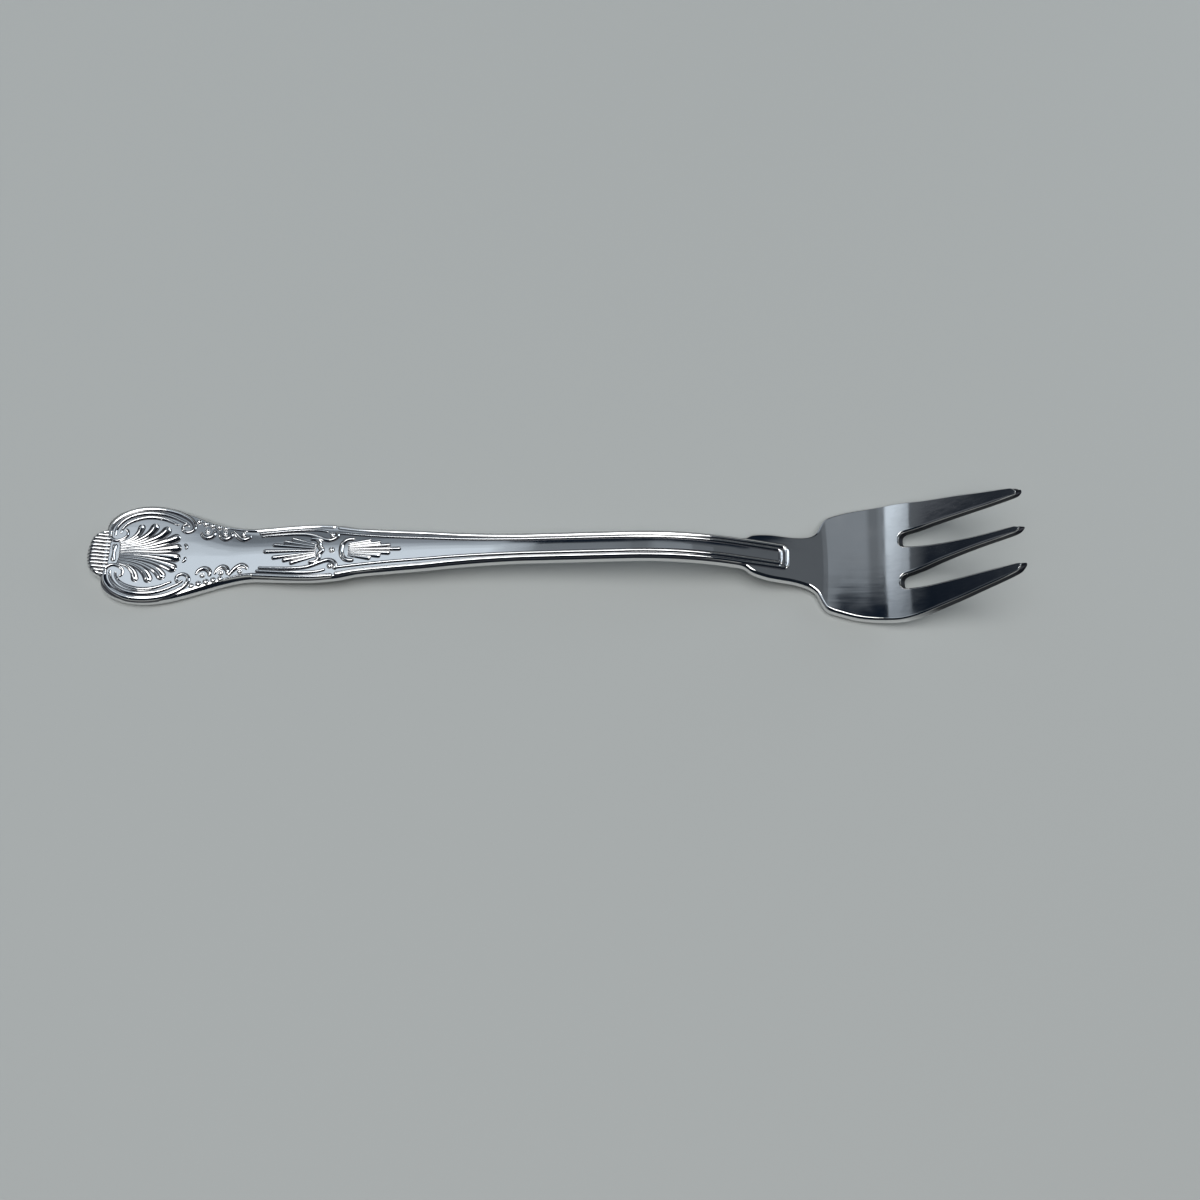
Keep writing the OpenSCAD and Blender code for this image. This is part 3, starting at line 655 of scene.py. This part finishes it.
# Polished steel with faint smudges and waves.
# Where a dark colour is given too, a value stored on each point of the mesh blends it in: painted shade in
# the grooves of the relief, and a duller cut finish with a painted dark reflection on the cut walls of the
# tines.
def steelMaterial(name, roughness, dark=None):
    material = bpy.data.materials.new(name)
    material.use_nodes = True
    tree = material.node_tree
    tree.nodes.clear()
    add = tree.nodes.new
    link = tree.links.new
    out = add("ShaderNodeOutputMaterial")
    steel = add("ShaderNodeBsdfPrincipled")
    steel.inputs["Base Color"].default_value = steelLook["colour"]
    steel.inputs["Metallic"].default_value = 1
    place = add("ShaderNodeTexCoord")
    smudge = add("ShaderNodeTexNoise")
    smudge.inputs["Scale"].default_value = steelLook["smudgeScale"]
    smudge.inputs["Detail"].default_value = steelLook["smudgeDetail"]
    link(place.outputs["Object"], smudge.inputs["Vector"])
    rough = add("ShaderNodeMapRange")
    rough.inputs["From Min"].default_value, rough.inputs["From Max"].default_value = steelLook["smudgeRange"]
    rough.inputs["To Min"].default_value, rough.inputs["To Max"].default_value = roughness
    link(smudge.outputs["Fac"], rough.inputs["Value"])
    link(rough.outputs["Result"], steel.inputs["Roughness"])
    stretched = add("ShaderNodeMapping")
    stretched.inputs["Scale"].default_value = steelLook["waveScale"]
    link(place.outputs["Object"], stretched.inputs["Vector"])
    wave = add("ShaderNodeTexNoise")
    wave.inputs["Scale"].default_value = 1
    wave.inputs["Detail"].default_value = steelLook["waveDetail"]
    link(stretched.outputs["Vector"], wave.inputs["Vector"])
    bump = add("ShaderNodeBump")
    bump.inputs["Distance"].default_value = steelLook["waveDepth"]
    link(wave.outputs["Fac"], bump.inputs["Height"])
    link(bump.outputs["Normal"], steel.inputs["Normal"])
    if not dark:
        link(steel.outputs["BSDF"], out.inputs["Surface"])
        return material
    darkened = add("ShaderNodeBsdfPrincipled")
    darkened.inputs["Base Color"].default_value = dark["colour"]
    darkened.inputs["Roughness"].default_value = dark["roughness"]
    darkened.inputs["Metallic"].default_value = dark["metallic"]
    # Painted shade and dark cut finish stored on the mesh
    depth = add("ShaderNodeAttribute")
    depth.attribute_name = "grime"
    blend = add("ShaderNodeMixShader")
    link(depth.outputs["Fac"], blend.inputs["Fac"])
    link(steel.outputs["BSDF"], blend.inputs[1])
    link(darkened.outputs["BSDF"], blend.inputs[2])
    link(blend.outputs["Shader"], out.inputs["Surface"])
    return material


polished = steelMaterial("polishedSteel", steelLook["handleRoughness"])
cut = steelMaterial("steelWithCutWalls", steelLook["headRoughness"], cutFinishAndShadeLook)
struck = steelMaterial("struckRelief", steelLook["handleRoughness"], grooveLook)

blankChains = {
    "handle_end": [joined(chain("end", -1, True), chain("end", 1))],
    "handle_waist": [chain("waist", 1), chain("waist", -1, True)],
    "stem": [chain("stem", 1), chain("stem", -1, True)],
    "neck": [chain("neck", 1), chain("neck", -1, True)],
    "head": [chain("headSide", 1), chain("slot", 1), chain("slot", -1, True), chain("headSide", -1, True)],
    "tine_left": [chain("outerTine", 1)],
    "tine_right": [chain("outerTine", -1, True)],
    "tine_middle": [joined(chain("middleTine", 1), chain("middleTine", -1, True))],
}
blankGrid = {"handle": 0.7, "head": 0.4}


def pieceName(kind, node):
    return kind + "".join(word.capitalize() for word in node.split("_"))


for node, chains in blankChains.items():
    fine = node == "head" or node.startswith("tine")
    finish, grid = (cut, blankGrid["head"]) if fine else (polished, blankGrid["handle"])
    blankPiece(pieceName("blank", node), node, chains, finish, grid)
print("blank made:", len(blankChains), "pieces")

# Ornament: lines and petals struck up from the ground, with a groove along their feet darkened by painted
# shade
reliefShape = {
    "riseShare": 0.36,  # height of a line that is given none, as a share of its width
    "grooveShare": 0.24,
    "peakShare": 0.5,
    "standOff": 0.012,
    "skirt": 0.12,
    "step": 0.14,
    "capShare": 0.45,
    "capStart": 0.12,
    "capSteps": 6,
    "domeSides": 32,
    "domeRings": 8,
    # how far up a line the painted shade reaches, as a share of its height
    "shadeReach": 0.34,
}
crossShares = np.array([0, 0.2, 0.42, 0.6, 0.74, 0.84, 0.93, 1])
acrossShares = np.concatenate([crossShares[::-1], -crossShares[1:]])
fromCrest = np.clip(np.abs(acrossShares) / (1 - reliefShape["grooveShare"]), 0, 1)
liftShares = mix(1 - fromCrest**2, 1 - fromCrest, reliefShape["peakShare"])


# Smooth curve through every place given
def smoothPath(places):
    steps = 14
    p = np.array(places, float)
    ends = np.vstack([2 * p[0] - p[1], p, 2 * p[-1] - p[-2]])
    t = np.arange(steps)[:, None] / steps
    made = []
    for a, b, c, d in zip(ends[:-3], ends[1:-2], ends[2:-1], ends[3:]):
        bend, twist = 2 * a - 5 * b + 4 * c - d, 3 * b - a - 3 * c + d
        made.append((2 * b + (c - a) * t + bend * t**2 + twist * t**3) / 2)
    return np.vstack(made + [p[-1:]])


class Relief(Shape):
    # Painted shade: the lower a point lies on a line or dome, the more it is darkened toward the groove
    # colour
    def ring(self, points, normals, lifts):
        return self.add(points, normals, np.clip(1 - np.asarray(lifts) / reliefShape["shadeReach"], 0, 1))

    # One raised line along a path, with round ends, closed underneath
    def stroke(self, path, widths, height=None, step=reliefShape["step"]):
        path = np.asarray(path, float)
        run = np.concatenate([[0], np.cumsum(np.linalg.norm(np.diff(path, axis=0), axis=1))])
        length = run[-1]
        caps = [min(w / 2, length * reliefShape["capShare"]) for w in (widths[0], widths[-1])]
        turn = 1 - np.cos(np.linspace(reliefShape["capStart"], math.pi / 2, reliefShape["capSteps"]))
        middle = np.linspace(caps[0], length - caps[1], max(2, int((length - sum(caps)) / step) + 1))
        at = np.concatenate([caps[0] * turn[:-1], middle, length - (caps[1] * turn[:-1])[::-1]])
        centre = np.stack([np.interp(at, run, path[:, 0]), np.interp(at, run, path[:, 1])], 1)
        near = np.minimum(at / caps[0], (length - at) / caps[1])
        full = np.sqrt(np.clip(1 - (1 - np.clip(near, 0, 1)) ** 2, 0, 1))
        width = smoothCurve(list(zip(np.linspace(0, 1, len(widths)), widths)), at / length)
        reach = width / 2 * full
        way = np.gradient(centre, at, axis=0)
        side = unit(np.stack([-way[:, 1], way[:, 0]], 1))
        plan = centre[None] + side[None] * reach[None, :, None] * acrossShares[:, None, None]
        x, y = plan[:, :, 0], plan[:, :, 1]
        if height is None:
            height = reliefShape["riseShare"] * width
        elif isinstance(height, tuple):
            height = np.interp(at / length, *height)
        high = np.broadcast_to(height * full, x.shape)
        z = topFace(x, y) - rimDrop(x, y) + high * liftShares[:, None] + reliefShape["standOff"]
        grid = np.dstack([x, y, z])
        normals = gridNormals(grid)
        normals *= np.sign(normals[:, :, 2:3])
        low = grid[[-1, 0]] - np.array([0, 0, reliefShape["skirt"]])
        rings = []
        for i in range(grid.shape[1]):
            points = np.vstack([grid[:, i], low[:, i]])
            n = np.vstack([normals[:, i], [[0, 0, -1]] * 2])
            rings.append(self.ring(points, n, np.concatenate([liftShares, [0, 0]])))
        for here, after in zip(rings[:-1], rings[1:]):
            for k in range(len(here)):
                k2 = (k + 1) % len(here)
                self.face([here[k], here[k2], after[k2], after[k]], flat=k >= len(acrossShares) - 1)
        self.face(rings[0][::-1], flat=True)
        self.face(rings[-1], flat=True)

    # A round bead, pearl or bud
    def dome(self, centre, radius, height):
        turns = np.linspace(0, 2 * math.pi, reliefShape["domeSides"], endpoint=False)
        rows = []
        for u in np.linspace(0, 1, reliefShape["domeRings"], endpoint=False):
            out, up = math.cos(u * math.pi / 2), math.sin(u * math.pi / 2)
            x, y = centre[0] + radius * out * np.cos(turns), centre[1] + radius * out * np.sin(turns)
            normal = np.column_stack([np.cos(turns) * out, np.sin(turns) * out, np.full(len(turns), up)])
            z = topFace(x, y) - rimDrop(x, y) + height * up
            rows.append(self.ring(np.column_stack([x, y, z]), normal, np.full(len(turns), u)))
        peak = topFace(*centre) - rimDrop(*np.array(centre).reshape(2, 1))[0] + height
        top = self.ring([[*centre, float(peak)]], [[0, 0, 1]], [1])[0]
        for here, after in zip(rows[:-1], rows[1:]):
            for k in range(len(turns)):
                k2 = (k + 1) % len(turns)
                self.face([here[k], here[k2], after[k2], after[k]])
        for k in range(len(turns)):
            self.face([rows[-1][k], rows[-1][(k + 1) % len(turns)], top])
        self.face(rows[0][::-1], flat=True)


def reliefPiece(node, relief):
    makePiece(pieceName("relief", node), relief, node, struck)


def mirrored(path, side):
    return np.asarray(path, float) * np.array([1, side])


rimSamples = 80

# Flutes that roll over the end of the handle
fluting = {"count": 13, "fill": 1.0, "endX": 3.3, "inset": 0.06, "height": 0.17}
flutes = Relief()
pitch = (half["lobe"] - fluting["inset"]) * 2 / fluting["count"]
xs = np.linspace(station["heel"] + fluting["inset"], station["lobe"], rimSamples)
for i in range(fluting["count"]):
    y = (i - (fluting["count"] - 1) / 2) * pitch
    startX = xs[np.argmax(halfWidth(xs) - fluting["inset"] > abs(y) + pitch / 4)]
    flutes.stroke([(startX, y), (fluting["endX"], y)], [pitch * fluting["fill"]] * 2, fluting["height"])
reliefPiece("heel_fluting", flutes)

# Shell: ribs that fan out from a small bar, and two small crescents beyond their tips
shellLook = {
    "ribs": [
        [(4.5, 1.8), (6.3, 2.3), (7.5, 3.4), (8.05, 5.1)],
        [(4.6, 1.4), (7.4, 2.1), (9.3, 3.4), (10.35, 5.2)],
        [(4.7, 1.0), (8.4, 1.7), (11.1, 3.0), (12.5, 4.6)],
        [(4.7, 0.6), (9.0, 1.05), (12.1, 1.95), (14.4, 2.95)],
        [(4.7, 0.2), (9.0, 0.36), (12.0, 0.6), (14.85, 0.95)],
    ],
    "ribWidths": [
        (0.4, 0.7, 1.1, 1.35),
        (0.4, 0.75, 1.3, 1.65),
        (0.4, 0.75, 1.35, 1.8),
        (0.4, 0.75, 1.25, 1.9),
        (0.4, 0.72, 1.2, 1.85),
    ],
    "ribHeight": ((0, 0.25, 0.7, 1), (0.16, 0.3, 0.5, 0.6)),
    "bar": [(3.95, 1.6), (3.95, -1.6)],
    "barWidths": (1.05, 0.62, 1.05),
    "barHeight": 0.28,
    "crescent": [(15.15, 1.65), (15.5, 1.35), (15.62, 1.0), (15.45, 0.65)],
    "crescentWidths": (0.4, 0.6, 0.4),
}
shell = Relief()
for rib, widths in zip(shellLook["ribs"], shellLook["ribWidths"]):
    for side in (1, -1):
        shell.stroke(mirrored(smoothPath(rib), side), widths, shellLook["ribHeight"])
shell.stroke(shellLook["bar"], shellLook["barWidths"], shellLook["barHeight"])
for side in (1, -1):
    shell.stroke(mirrored(smoothPath(shellLook["crescent"]), side), shellLook["crescentWidths"])
reliefPiece("shell", shell)

# C-scrolls beside the shell: three lines each, packed close along the rim
scrollLook = {
    "outer": {
        "path": [
            (5.25, 4.25), (5.7, 3.85), (5.72, 3.05), (5.0, 2.4), (3.95, 2.15), (3.1, 2.6), (2.8, 3.4),
            (2.98, 4.85), (3.95, 6.2), (5.45, 7.22), (7.2, 7.84), (9.3, 8.02), (11.4, 7.86), (13.1, 7.42),
            (14.5, 6.8), (15.8, 5.95), (16.5, 4.85), (16.3, 4.05), (15.45, 3.7), (14.7, 4.05), (14.58, 4.75),
            (15.15, 5.2), (15.65, 4.75)
        ],
        "widths": (0.5, 0.66, 1.1, 1.1, 1.05, 0.95, 0.7, 0.5),
        "height": ((0, 0.35, 0.45, 0.75, 1), (0.24, 0.26, 0.24, 0.24, 0.2)),
    },
    "middle": {
        "path": [
            (3.75, 3.0), (3.75, 3.9), (4.2, 4.95), (5.25, 6.05), (6.9, 6.82), (8.97, 7.12), (11.1, 6.95),
            (12.9, 6.42), (14.3, 5.75), (15.2, 5.3)
        ],
        "widths": (0.5, 0.85, 0.5),
        "height": None,
    },
    "inner": {
        "path": [
            (4.6, 3.4), (4.75, 4.15), (5.45, 5.1), (6.65, 5.82), (8.4, 6.32), (10.0, 6.33), (11.6, 6.0),
            (13.0, 5.42), (13.9, 5.0)
        ],
        "widths": (0.45, 0.76, 0.45),
        "height": None,
    },
}
for node, side in (("scroll_left", 1), ("scroll_right", -1)):
    scroll = Relief()
    for line in scrollLook.values():
        scroll.stroke(mirrored(smoothPath(line["path"]), side), line["widths"], line["height"])
    reliefPiece(node, scroll)

# Leaf sprays: a row of pearls that runs on into a band along the rim, and hooked leaves with a bud in each
leafLook = {
    "leaves": [
        [(17.6, 3.85), (17.95, 3.15), (18.7, 2.72), (19.45, 2.9), (19.85, 3.45), (19.8, 4.1)],
        [(20.6, 3.75), (21.0, 2.9), (21.75, 2.45), (22.4, 2.68), (22.75, 3.25), (22.65, 3.85)],
        [(22.9, 4.0), (23.4, 3.3), (24.05, 2.65), (24.85, 2.28), (25.6, 2.5), (26.0, 3.0)],
    ],
    "leafWidths": (0.4, 0.8, 0.95, 0.6),
    "buds": [(18.7, 3.9, 0.46), (21.65, 3.5, 0.46), (24.7, 3.3, 0.44)],
    "band": (21.9, 27.0),
    "bandInset": 0.62,
    "bandWidths": (0.4, 0.65, 0.75),
    "pearls": [
        (17.1, 5.7, 0.46), (18.2, 5.33, 0.52), (19.35, 4.97, 0.52), (20.5, 4.68, 0.5), (21.6, 4.45, 0.46)
    ],
    "pearlHeight": 0.36,
}
for node, side in (("leaf_spray_left", 1), ("leaf_spray_right", -1)):
    spray = Relief()
    xs = np.linspace(*leafLook["band"], rimSamples)
    band = np.stack([xs, halfWidth(xs) - leafLook["bandInset"]], 1)
    spray.stroke(mirrored(band, side), leafLook["bandWidths"])
    for x, y, radius in leafLook["pearls"] + leafLook["buds"]:
        spray.dome((x, side * y), radius, leafLook["pearlHeight"])
    for leaf in leafLook["leaves"]:
        spray.stroke(mirrored(smoothPath(leaf), side), leafLook["leafWidths"])
    reliefPiece(node, spray)

# Threads of the waist: a broad one on the rim, one inside it, and one that curls round a bead
waistLook = {
    "threads": [
        {
            "path": [(26.4, 3.95), (29, 4.12), (32, 4.34), (36.5, 4.5), (39.8, 4.3)],
            "widths": (0.85, 0.9, 0.85),
            "height": 0.18,
        },
        {
            "path": [(27.2, 3.3), (29, 3.42), (32, 3.64), (35, 3.74), (37.2, 3.62), (38.6, 3.3)],
            "widths": (0.6, 0.7, 0.5),
            "height": None,
        },
        {
            "path": [
                (27.6, 2.75), (29, 2.86), (32, 3.0), (34.4, 2.96), (35.8, 2.76), (37.0, 2.35), (38.0, 1.95),
                (39.0, 1.75), (39.85, 2.1), (40.2, 2.8), (39.85, 3.35)
            ],
            "widths": (0.5, 0.65, 0.7, 0.8, 0.85),
            "height": None,
        },
    ],
    "bead": {"place": (39.3, 2.72), "radius": 0.5, "height": 0.42},
}
for node, side in (("waist_thread_left", 1), ("waist_thread_right", -1)):
    threads = Relief()
    for thread in waistLook["threads"]:
        threads.stroke(mirrored(smoothPath(thread["path"]), side), thread["widths"], thread["height"])
    curlBead = waistLook["bead"]
    threads.dome(mirrored(curlBead["place"], side), curlBead["radius"], curlBead["height"])
    reliefPiece(node, threads)

# Palmettes of slim petals with a bracket at their root
palmetteLook = {
    "lower_palmette": {
        "rootX": 36.9,
        "tips": [(28.2, 0), (29.65, 1.16), (31.4, 1.68), (32.65, 2.18)],
        "bracket": [(35.7, 2.05), (36.8, 1.95), (37.35, 1.35), (37.4, 0.65), (37.85, 0)],
        "petalWidths": (0.42, 0.62, 0.85),
    },
    "upper_palmette": {
        "rootX": 42.0,
        "tips": [(50.6, 0), (48.9, 0.72), (47.35, 1.22), (45.8, 1.62)],
        "bracket": [(43.1, 1.8), (42.35, 1.85), (41.6, 1.6), (41.1, 0.95), (40.95, 0)],
        "petalWidths": (0.4, 0.6, 0.8),
    },
}
palmetteLines = {"pitch": 0.33, "bracketWidths": (0.75, 0.9, 0.75)}
for node, look in palmetteLook.items():
    palmette = Relief()
    for i, tip in enumerate(look["tips"]):
        petal = [(look["rootX"], palmetteLines["pitch"] * i), tip]
        for side in (1, -1) if i else (1,):
            palmette.stroke(mirrored(petal, side), look["petalWidths"])
    bracket = look["bracket"] + [(x, -y) for x, y in look["bracket"][-2::-1]]
    palmette.stroke(smoothPath(bracket), palmetteLines["bracketWidths"])
    reliefPiece(node, palmette)

beadLook = {"place": (39.4, 0.0), "radius": 0.5, "height": 0.45}
bead = Relief()
bead.dome(beadLook["place"], beadLook["radius"], beadLook["height"])
reliefPiece("bead", bead)

# Two threads that run the length of the stem and loop round on the neck
# "line" and "loop" are shares of the stem's half width and of the neck's length
stemLook = {
    "stem_thread_outer": {
        "lead": [(0, 0.9), (0.12, 0.68), (0.3, 0.5), (0.47, 0.36), (0.63, 0.2), (0.8, 0.075), (1, 0)],
        "line": 0.75,
        "loop": 0.66,
        "widths": (0.76, 0.78, 0.95, 0.78, 0.76),
        "height": ((0, 0.35, 0.5, 0.65, 1), (0.17, 0.17, 0.26, 0.17, 0.17)),
    },
    "stem_thread_inner": {
        "lead": [(0, 0.72), (0.12, 0.56), (0.3, 0.37), (0.47, 0.25), (0.63, 0.13), (0.8, 0.05), (1, 0)],
        "line": 0.49,
        "loop": 0.58,
        "widths": (0.55, 0.62, 0.9, 0.62, 0.55),
        "height": ((0, 0.35, 0.5, 0.65, 1), (0.2, 0.2, 0.26, 0.2, 0.2)),
    },
}
threadLines = {"samples": 400, "cornerShare": 0.45, "cornerSteps": 12, "step": 0.3}
for node, look in stemLook.items():
    lineY = half["stem"] * look["line"]
    xs = np.linspace(station["stem"], station["neck"], threadLines["samples"])
    lead = smoothCurve(look["lead"], (xs - station["stem"]) / taperLength)
    ys = lineY + (half["bulge"] - half["stem"]) * np.where(xs > station["stem"] + taperLength, 0, lead)
    endX = mix(station["neck"], station["head"], look["loop"])
    a = np.linspace(0, math.pi / 2, threadLines["cornerSteps"])[1:]
    r = lineY * threadLines["cornerShare"]
    corner = np.stack([endX - r * (1 - np.sin(a)), lineY - r + r * np.cos(a)], 1)
    leftRun = np.vstack([np.stack([xs, ys], 1), corner])
    path = np.vstack([leftRun, mirrored(leftRun[::-1], -1)])
    thread = Relief()
    thread.stroke(path, look["widths"], look["height"], threadLines["step"])
    reliefPiece(node, thread)
print("ornament made")

# Floor
floorLook = {"colour": (0.385, 0.40, 0.39, 1), "roughness": 0.6, "reach": 3.0}
floorMesh = bpy.data.meshes.new("floor")
r = floorLook["reach"]
floorMesh.from_pydata([(-r, -r, 0), (r, -r, 0), (r, r, 0), (-r, r, 0)], [], [(0, 1, 2, 3)])
floor = bpy.data.objects.new("floor", floorMesh)
bpy.context.scene.collection.objects.link(floor)
floorMaterial = bpy.data.materials.new("paleFloor")
floorMaterial.use_nodes = True
floorShader = floorMaterial.node_tree.nodes["Principled BSDF"]
floorShader.inputs["Base Color"].default_value = floorLook["colour"]
floorShader.inputs["Roughness"].default_value = floorLook["roughness"]
floorMesh.materials.append(floorMaterial)

# Light: a broad soft light overhead, and soft panels whose reflections the steel shows.
# The ceiling has rows of panels that dim toward the back on the left, and columns across the middle.
lightLook = {
    "overhead": {"strength": 2.4, "angle": 0.8, "from": (0.02, -0.2, 1)},
    "ceiling": 0.35,
    "leftSpan": (-0.32, -0.1),
    "leftEdges": [-0.15, 0.168, 0.188, 0.21, 0.245, 0.36],
    "leftRadiances": [0.74, 0.6, 0.45, 0.3, 0.18],
    "shoulderSpan": (-0.15, 0.2),
    "middleSpan": (-0.15, 0.185),
    "middleEdges": [-0.1, -0.09, -0.056, -0.044, 0.003, 0.013, 0.023, 0.13, 0.2],
    "middleRadiances": [0.4, 0.1, 0.075, 0.05, 0.08, 0.115, 0.145, 0.05],
    "far": {"x": (-0.27, -0.02), "y": (0.31, 0.31), "z": (0.06, 0.34), "radiance": 0.35},
    "right": {"x": (0.4, 0.4), "y": (0.06, 0.3), "z": (0.06, 0.26), "radiance": 3.5},
    "panelColour": (0.80, 0.90, 1.0),
}


def addLamp(name, kind, at, to):
    lamp = bpy.data.lights.new(name, kind)
    holder = bpy.data.objects.new(name, lamp)
    bpy.context.scene.collection.objects.link(holder)
    holder.location = at
    holder.rotation_euler = (Vector(at) - Vector(to)).to_track_quat("Z", "Y").to_euler()
    holder.visible_camera = False
    return lamp


overhead = addLamp("overhead", "SUN", lightLook["overhead"]["from"], (0, 0, 0))
overhead.energy = lightLook["overhead"]["strength"]
overhead.angle = lightLook["overhead"]["angle"]


# A flat panel that faces along the axis it has no extent on, toward the lower values
def addPanel(name, x, y, z, radiance):
    middle = [sum(span) / 2 for span in (x, y, z)]
    extents = [span[1] - span[0] for span in (x, y, z)]
    aim = [place if extent else place - 1 for place, extent in zip(middle, extents)]
    lamp = addLamp(name, "AREA", middle, aim)
    lamp.shape = "RECTANGLE"
    lamp.size, lamp.size_y = [extent for extent in extents if extent]
    lamp.energy = radiance * math.pi * lamp.size * lamp.size_y
    lamp.color = lightLook["panelColour"]


ceiling = (lightLook["ceiling"], lightLook["ceiling"])
leftRows = zip(lightLook["leftEdges"], lightLook["leftEdges"][1:], lightLook["leftRadiances"])
for i, (start, end, radiance) in enumerate(leftRows):
    addPanel(f"leftPanel{i}", lightLook["leftSpan"], (start, end), ceiling, radiance)
middleColumns = zip(lightLook["middleEdges"], lightLook["middleEdges"][1:], lightLook["middleRadiances"])
for i, (start, end, radiance) in enumerate(middleColumns):
    span = lightLook["middleSpan"] if i else lightLook["shoulderSpan"]
    addPanel(f"middlePanel{i}", (start, end), span, ceiling, radiance)
addPanel("farPanel", **lightLook["far"])
addPanel("rightPanel", **lightLook["right"])

# A dim room above a pale horizon. Each edge is a range of one axis of the direction, from -1 to 1.
roomLook = {
    "near": (0.10, 0.112, 0.125, 1),
    "far": (0.006, 0.011, 0.02, 1),
    "farEdge": (0.45, 0.49),
    "side": (0.008, 0.011, 0.016, 1),
    "sideEdge": (-0.42, -0.3),
    "low": (0.006, 0.010, 0.017, 1),
    "lowEdge": (0.3, 0.7),
    "left": (0.095, 0.103, 0.118, 1),
    "leftEdge": (-0.72, -0.6),
    "leftFarEdge": (0.385, 0.418),
    "horizon": (0.385, 0.40, 0.39, 1),
    "horizonEdge": (0.07, 0.13),
}
world = bpy.data.worlds.new("room")
bpy.context.scene.world = world
world.use_nodes = True
tree = world.node_tree
background = tree.nodes["Background"]
direction = tree.nodes.new("ShaderNodeTexCoord")
split = tree.nodes.new("ShaderNodeSeparateXYZ")
tree.links.new(direction.outputs["Generated"], split.inputs["Vector"])


# A colour, or a blend already made, below an edge of the direction and another above it
def blended(axis, edge, below, above):
    ramp = tree.nodes.new("ShaderNodeMapRange")
    ramp.interpolation_type = "SMOOTHSTEP"
    ramp.inputs["From Min"].default_value, ramp.inputs["From Max"].default_value = edge
    tree.links.new(split.outputs[axis], ramp.inputs["Value"])
    colour = tree.nodes.new("ShaderNodeMix")
    colour.data_type = "RGBA"
    tree.links.new(ramp.outputs["Result"], colour.inputs["Factor"])
    for socket, value in (("A", below), ("B", above)):
        if isinstance(value, tuple):
            colour.inputs[socket].default_value = value
        else:
            tree.links.new(value, colour.inputs[socket])
    return colour.outputs["Result"]


beyond = blended("Y", roomLook["farEdge"], roomLook["near"], roomLook["far"])
upper = blended("Y", roomLook["sideEdge"], roomLook["side"], beyond)
lowLeft = blended("Y", roomLook["leftFarEdge"], roomLook["left"], roomLook["low"])
low = blended("X", roomLook["leftEdge"], lowLeft, roomLook["low"])
room = blended("Z", roomLook["lowEdge"], low, upper)
tree.links.new(blended("Z", roomLook["horizonEdge"], roomLook["horizon"], room), background.inputs["Color"])
print("light made")

# Camera at the viewing angle of the photograph
cameraLook = {
    "lens": 54.115,
    "sensor": 36,
    "clip": 0.005,
    "elevation": 1.14389,
    "turn": 0.076704,
    "roll": -0.055825,
    "at": (0.017963, -0.124474, 0.260934),
}
e, t, roll = cameraLook["elevation"], cameraLook["turn"], cameraLook["roll"]
back = Vector((math.sin(t) * math.cos(e), -math.cos(t) * math.cos(e), math.sin(e)))
right = Vector((math.cos(t), math.sin(t), 0))
up = back.cross(right)
rolledRight = math.cos(roll) * right + math.sin(roll) * up
rolledUp = math.cos(roll) * up - math.sin(roll) * right
cameraData = bpy.data.cameras.new("camera")
cameraData.lens = cameraLook["lens"]
cameraData.sensor_width = cameraLook["sensor"]
cameraData.clip_start = cameraLook["clip"]
camera = bpy.data.objects.new("camera", cameraData)
bpy.context.scene.collection.objects.link(camera)
matrix = Matrix((rolledRight, rolledUp, back)).transposed().to_4x4()
matrix.translation = cameraLook["at"]
camera.matrix_world = matrix
bpy.context.scene.camera = camera
bpy.context.scene.view_settings.view_transform = "Standard"

print("scene ready")
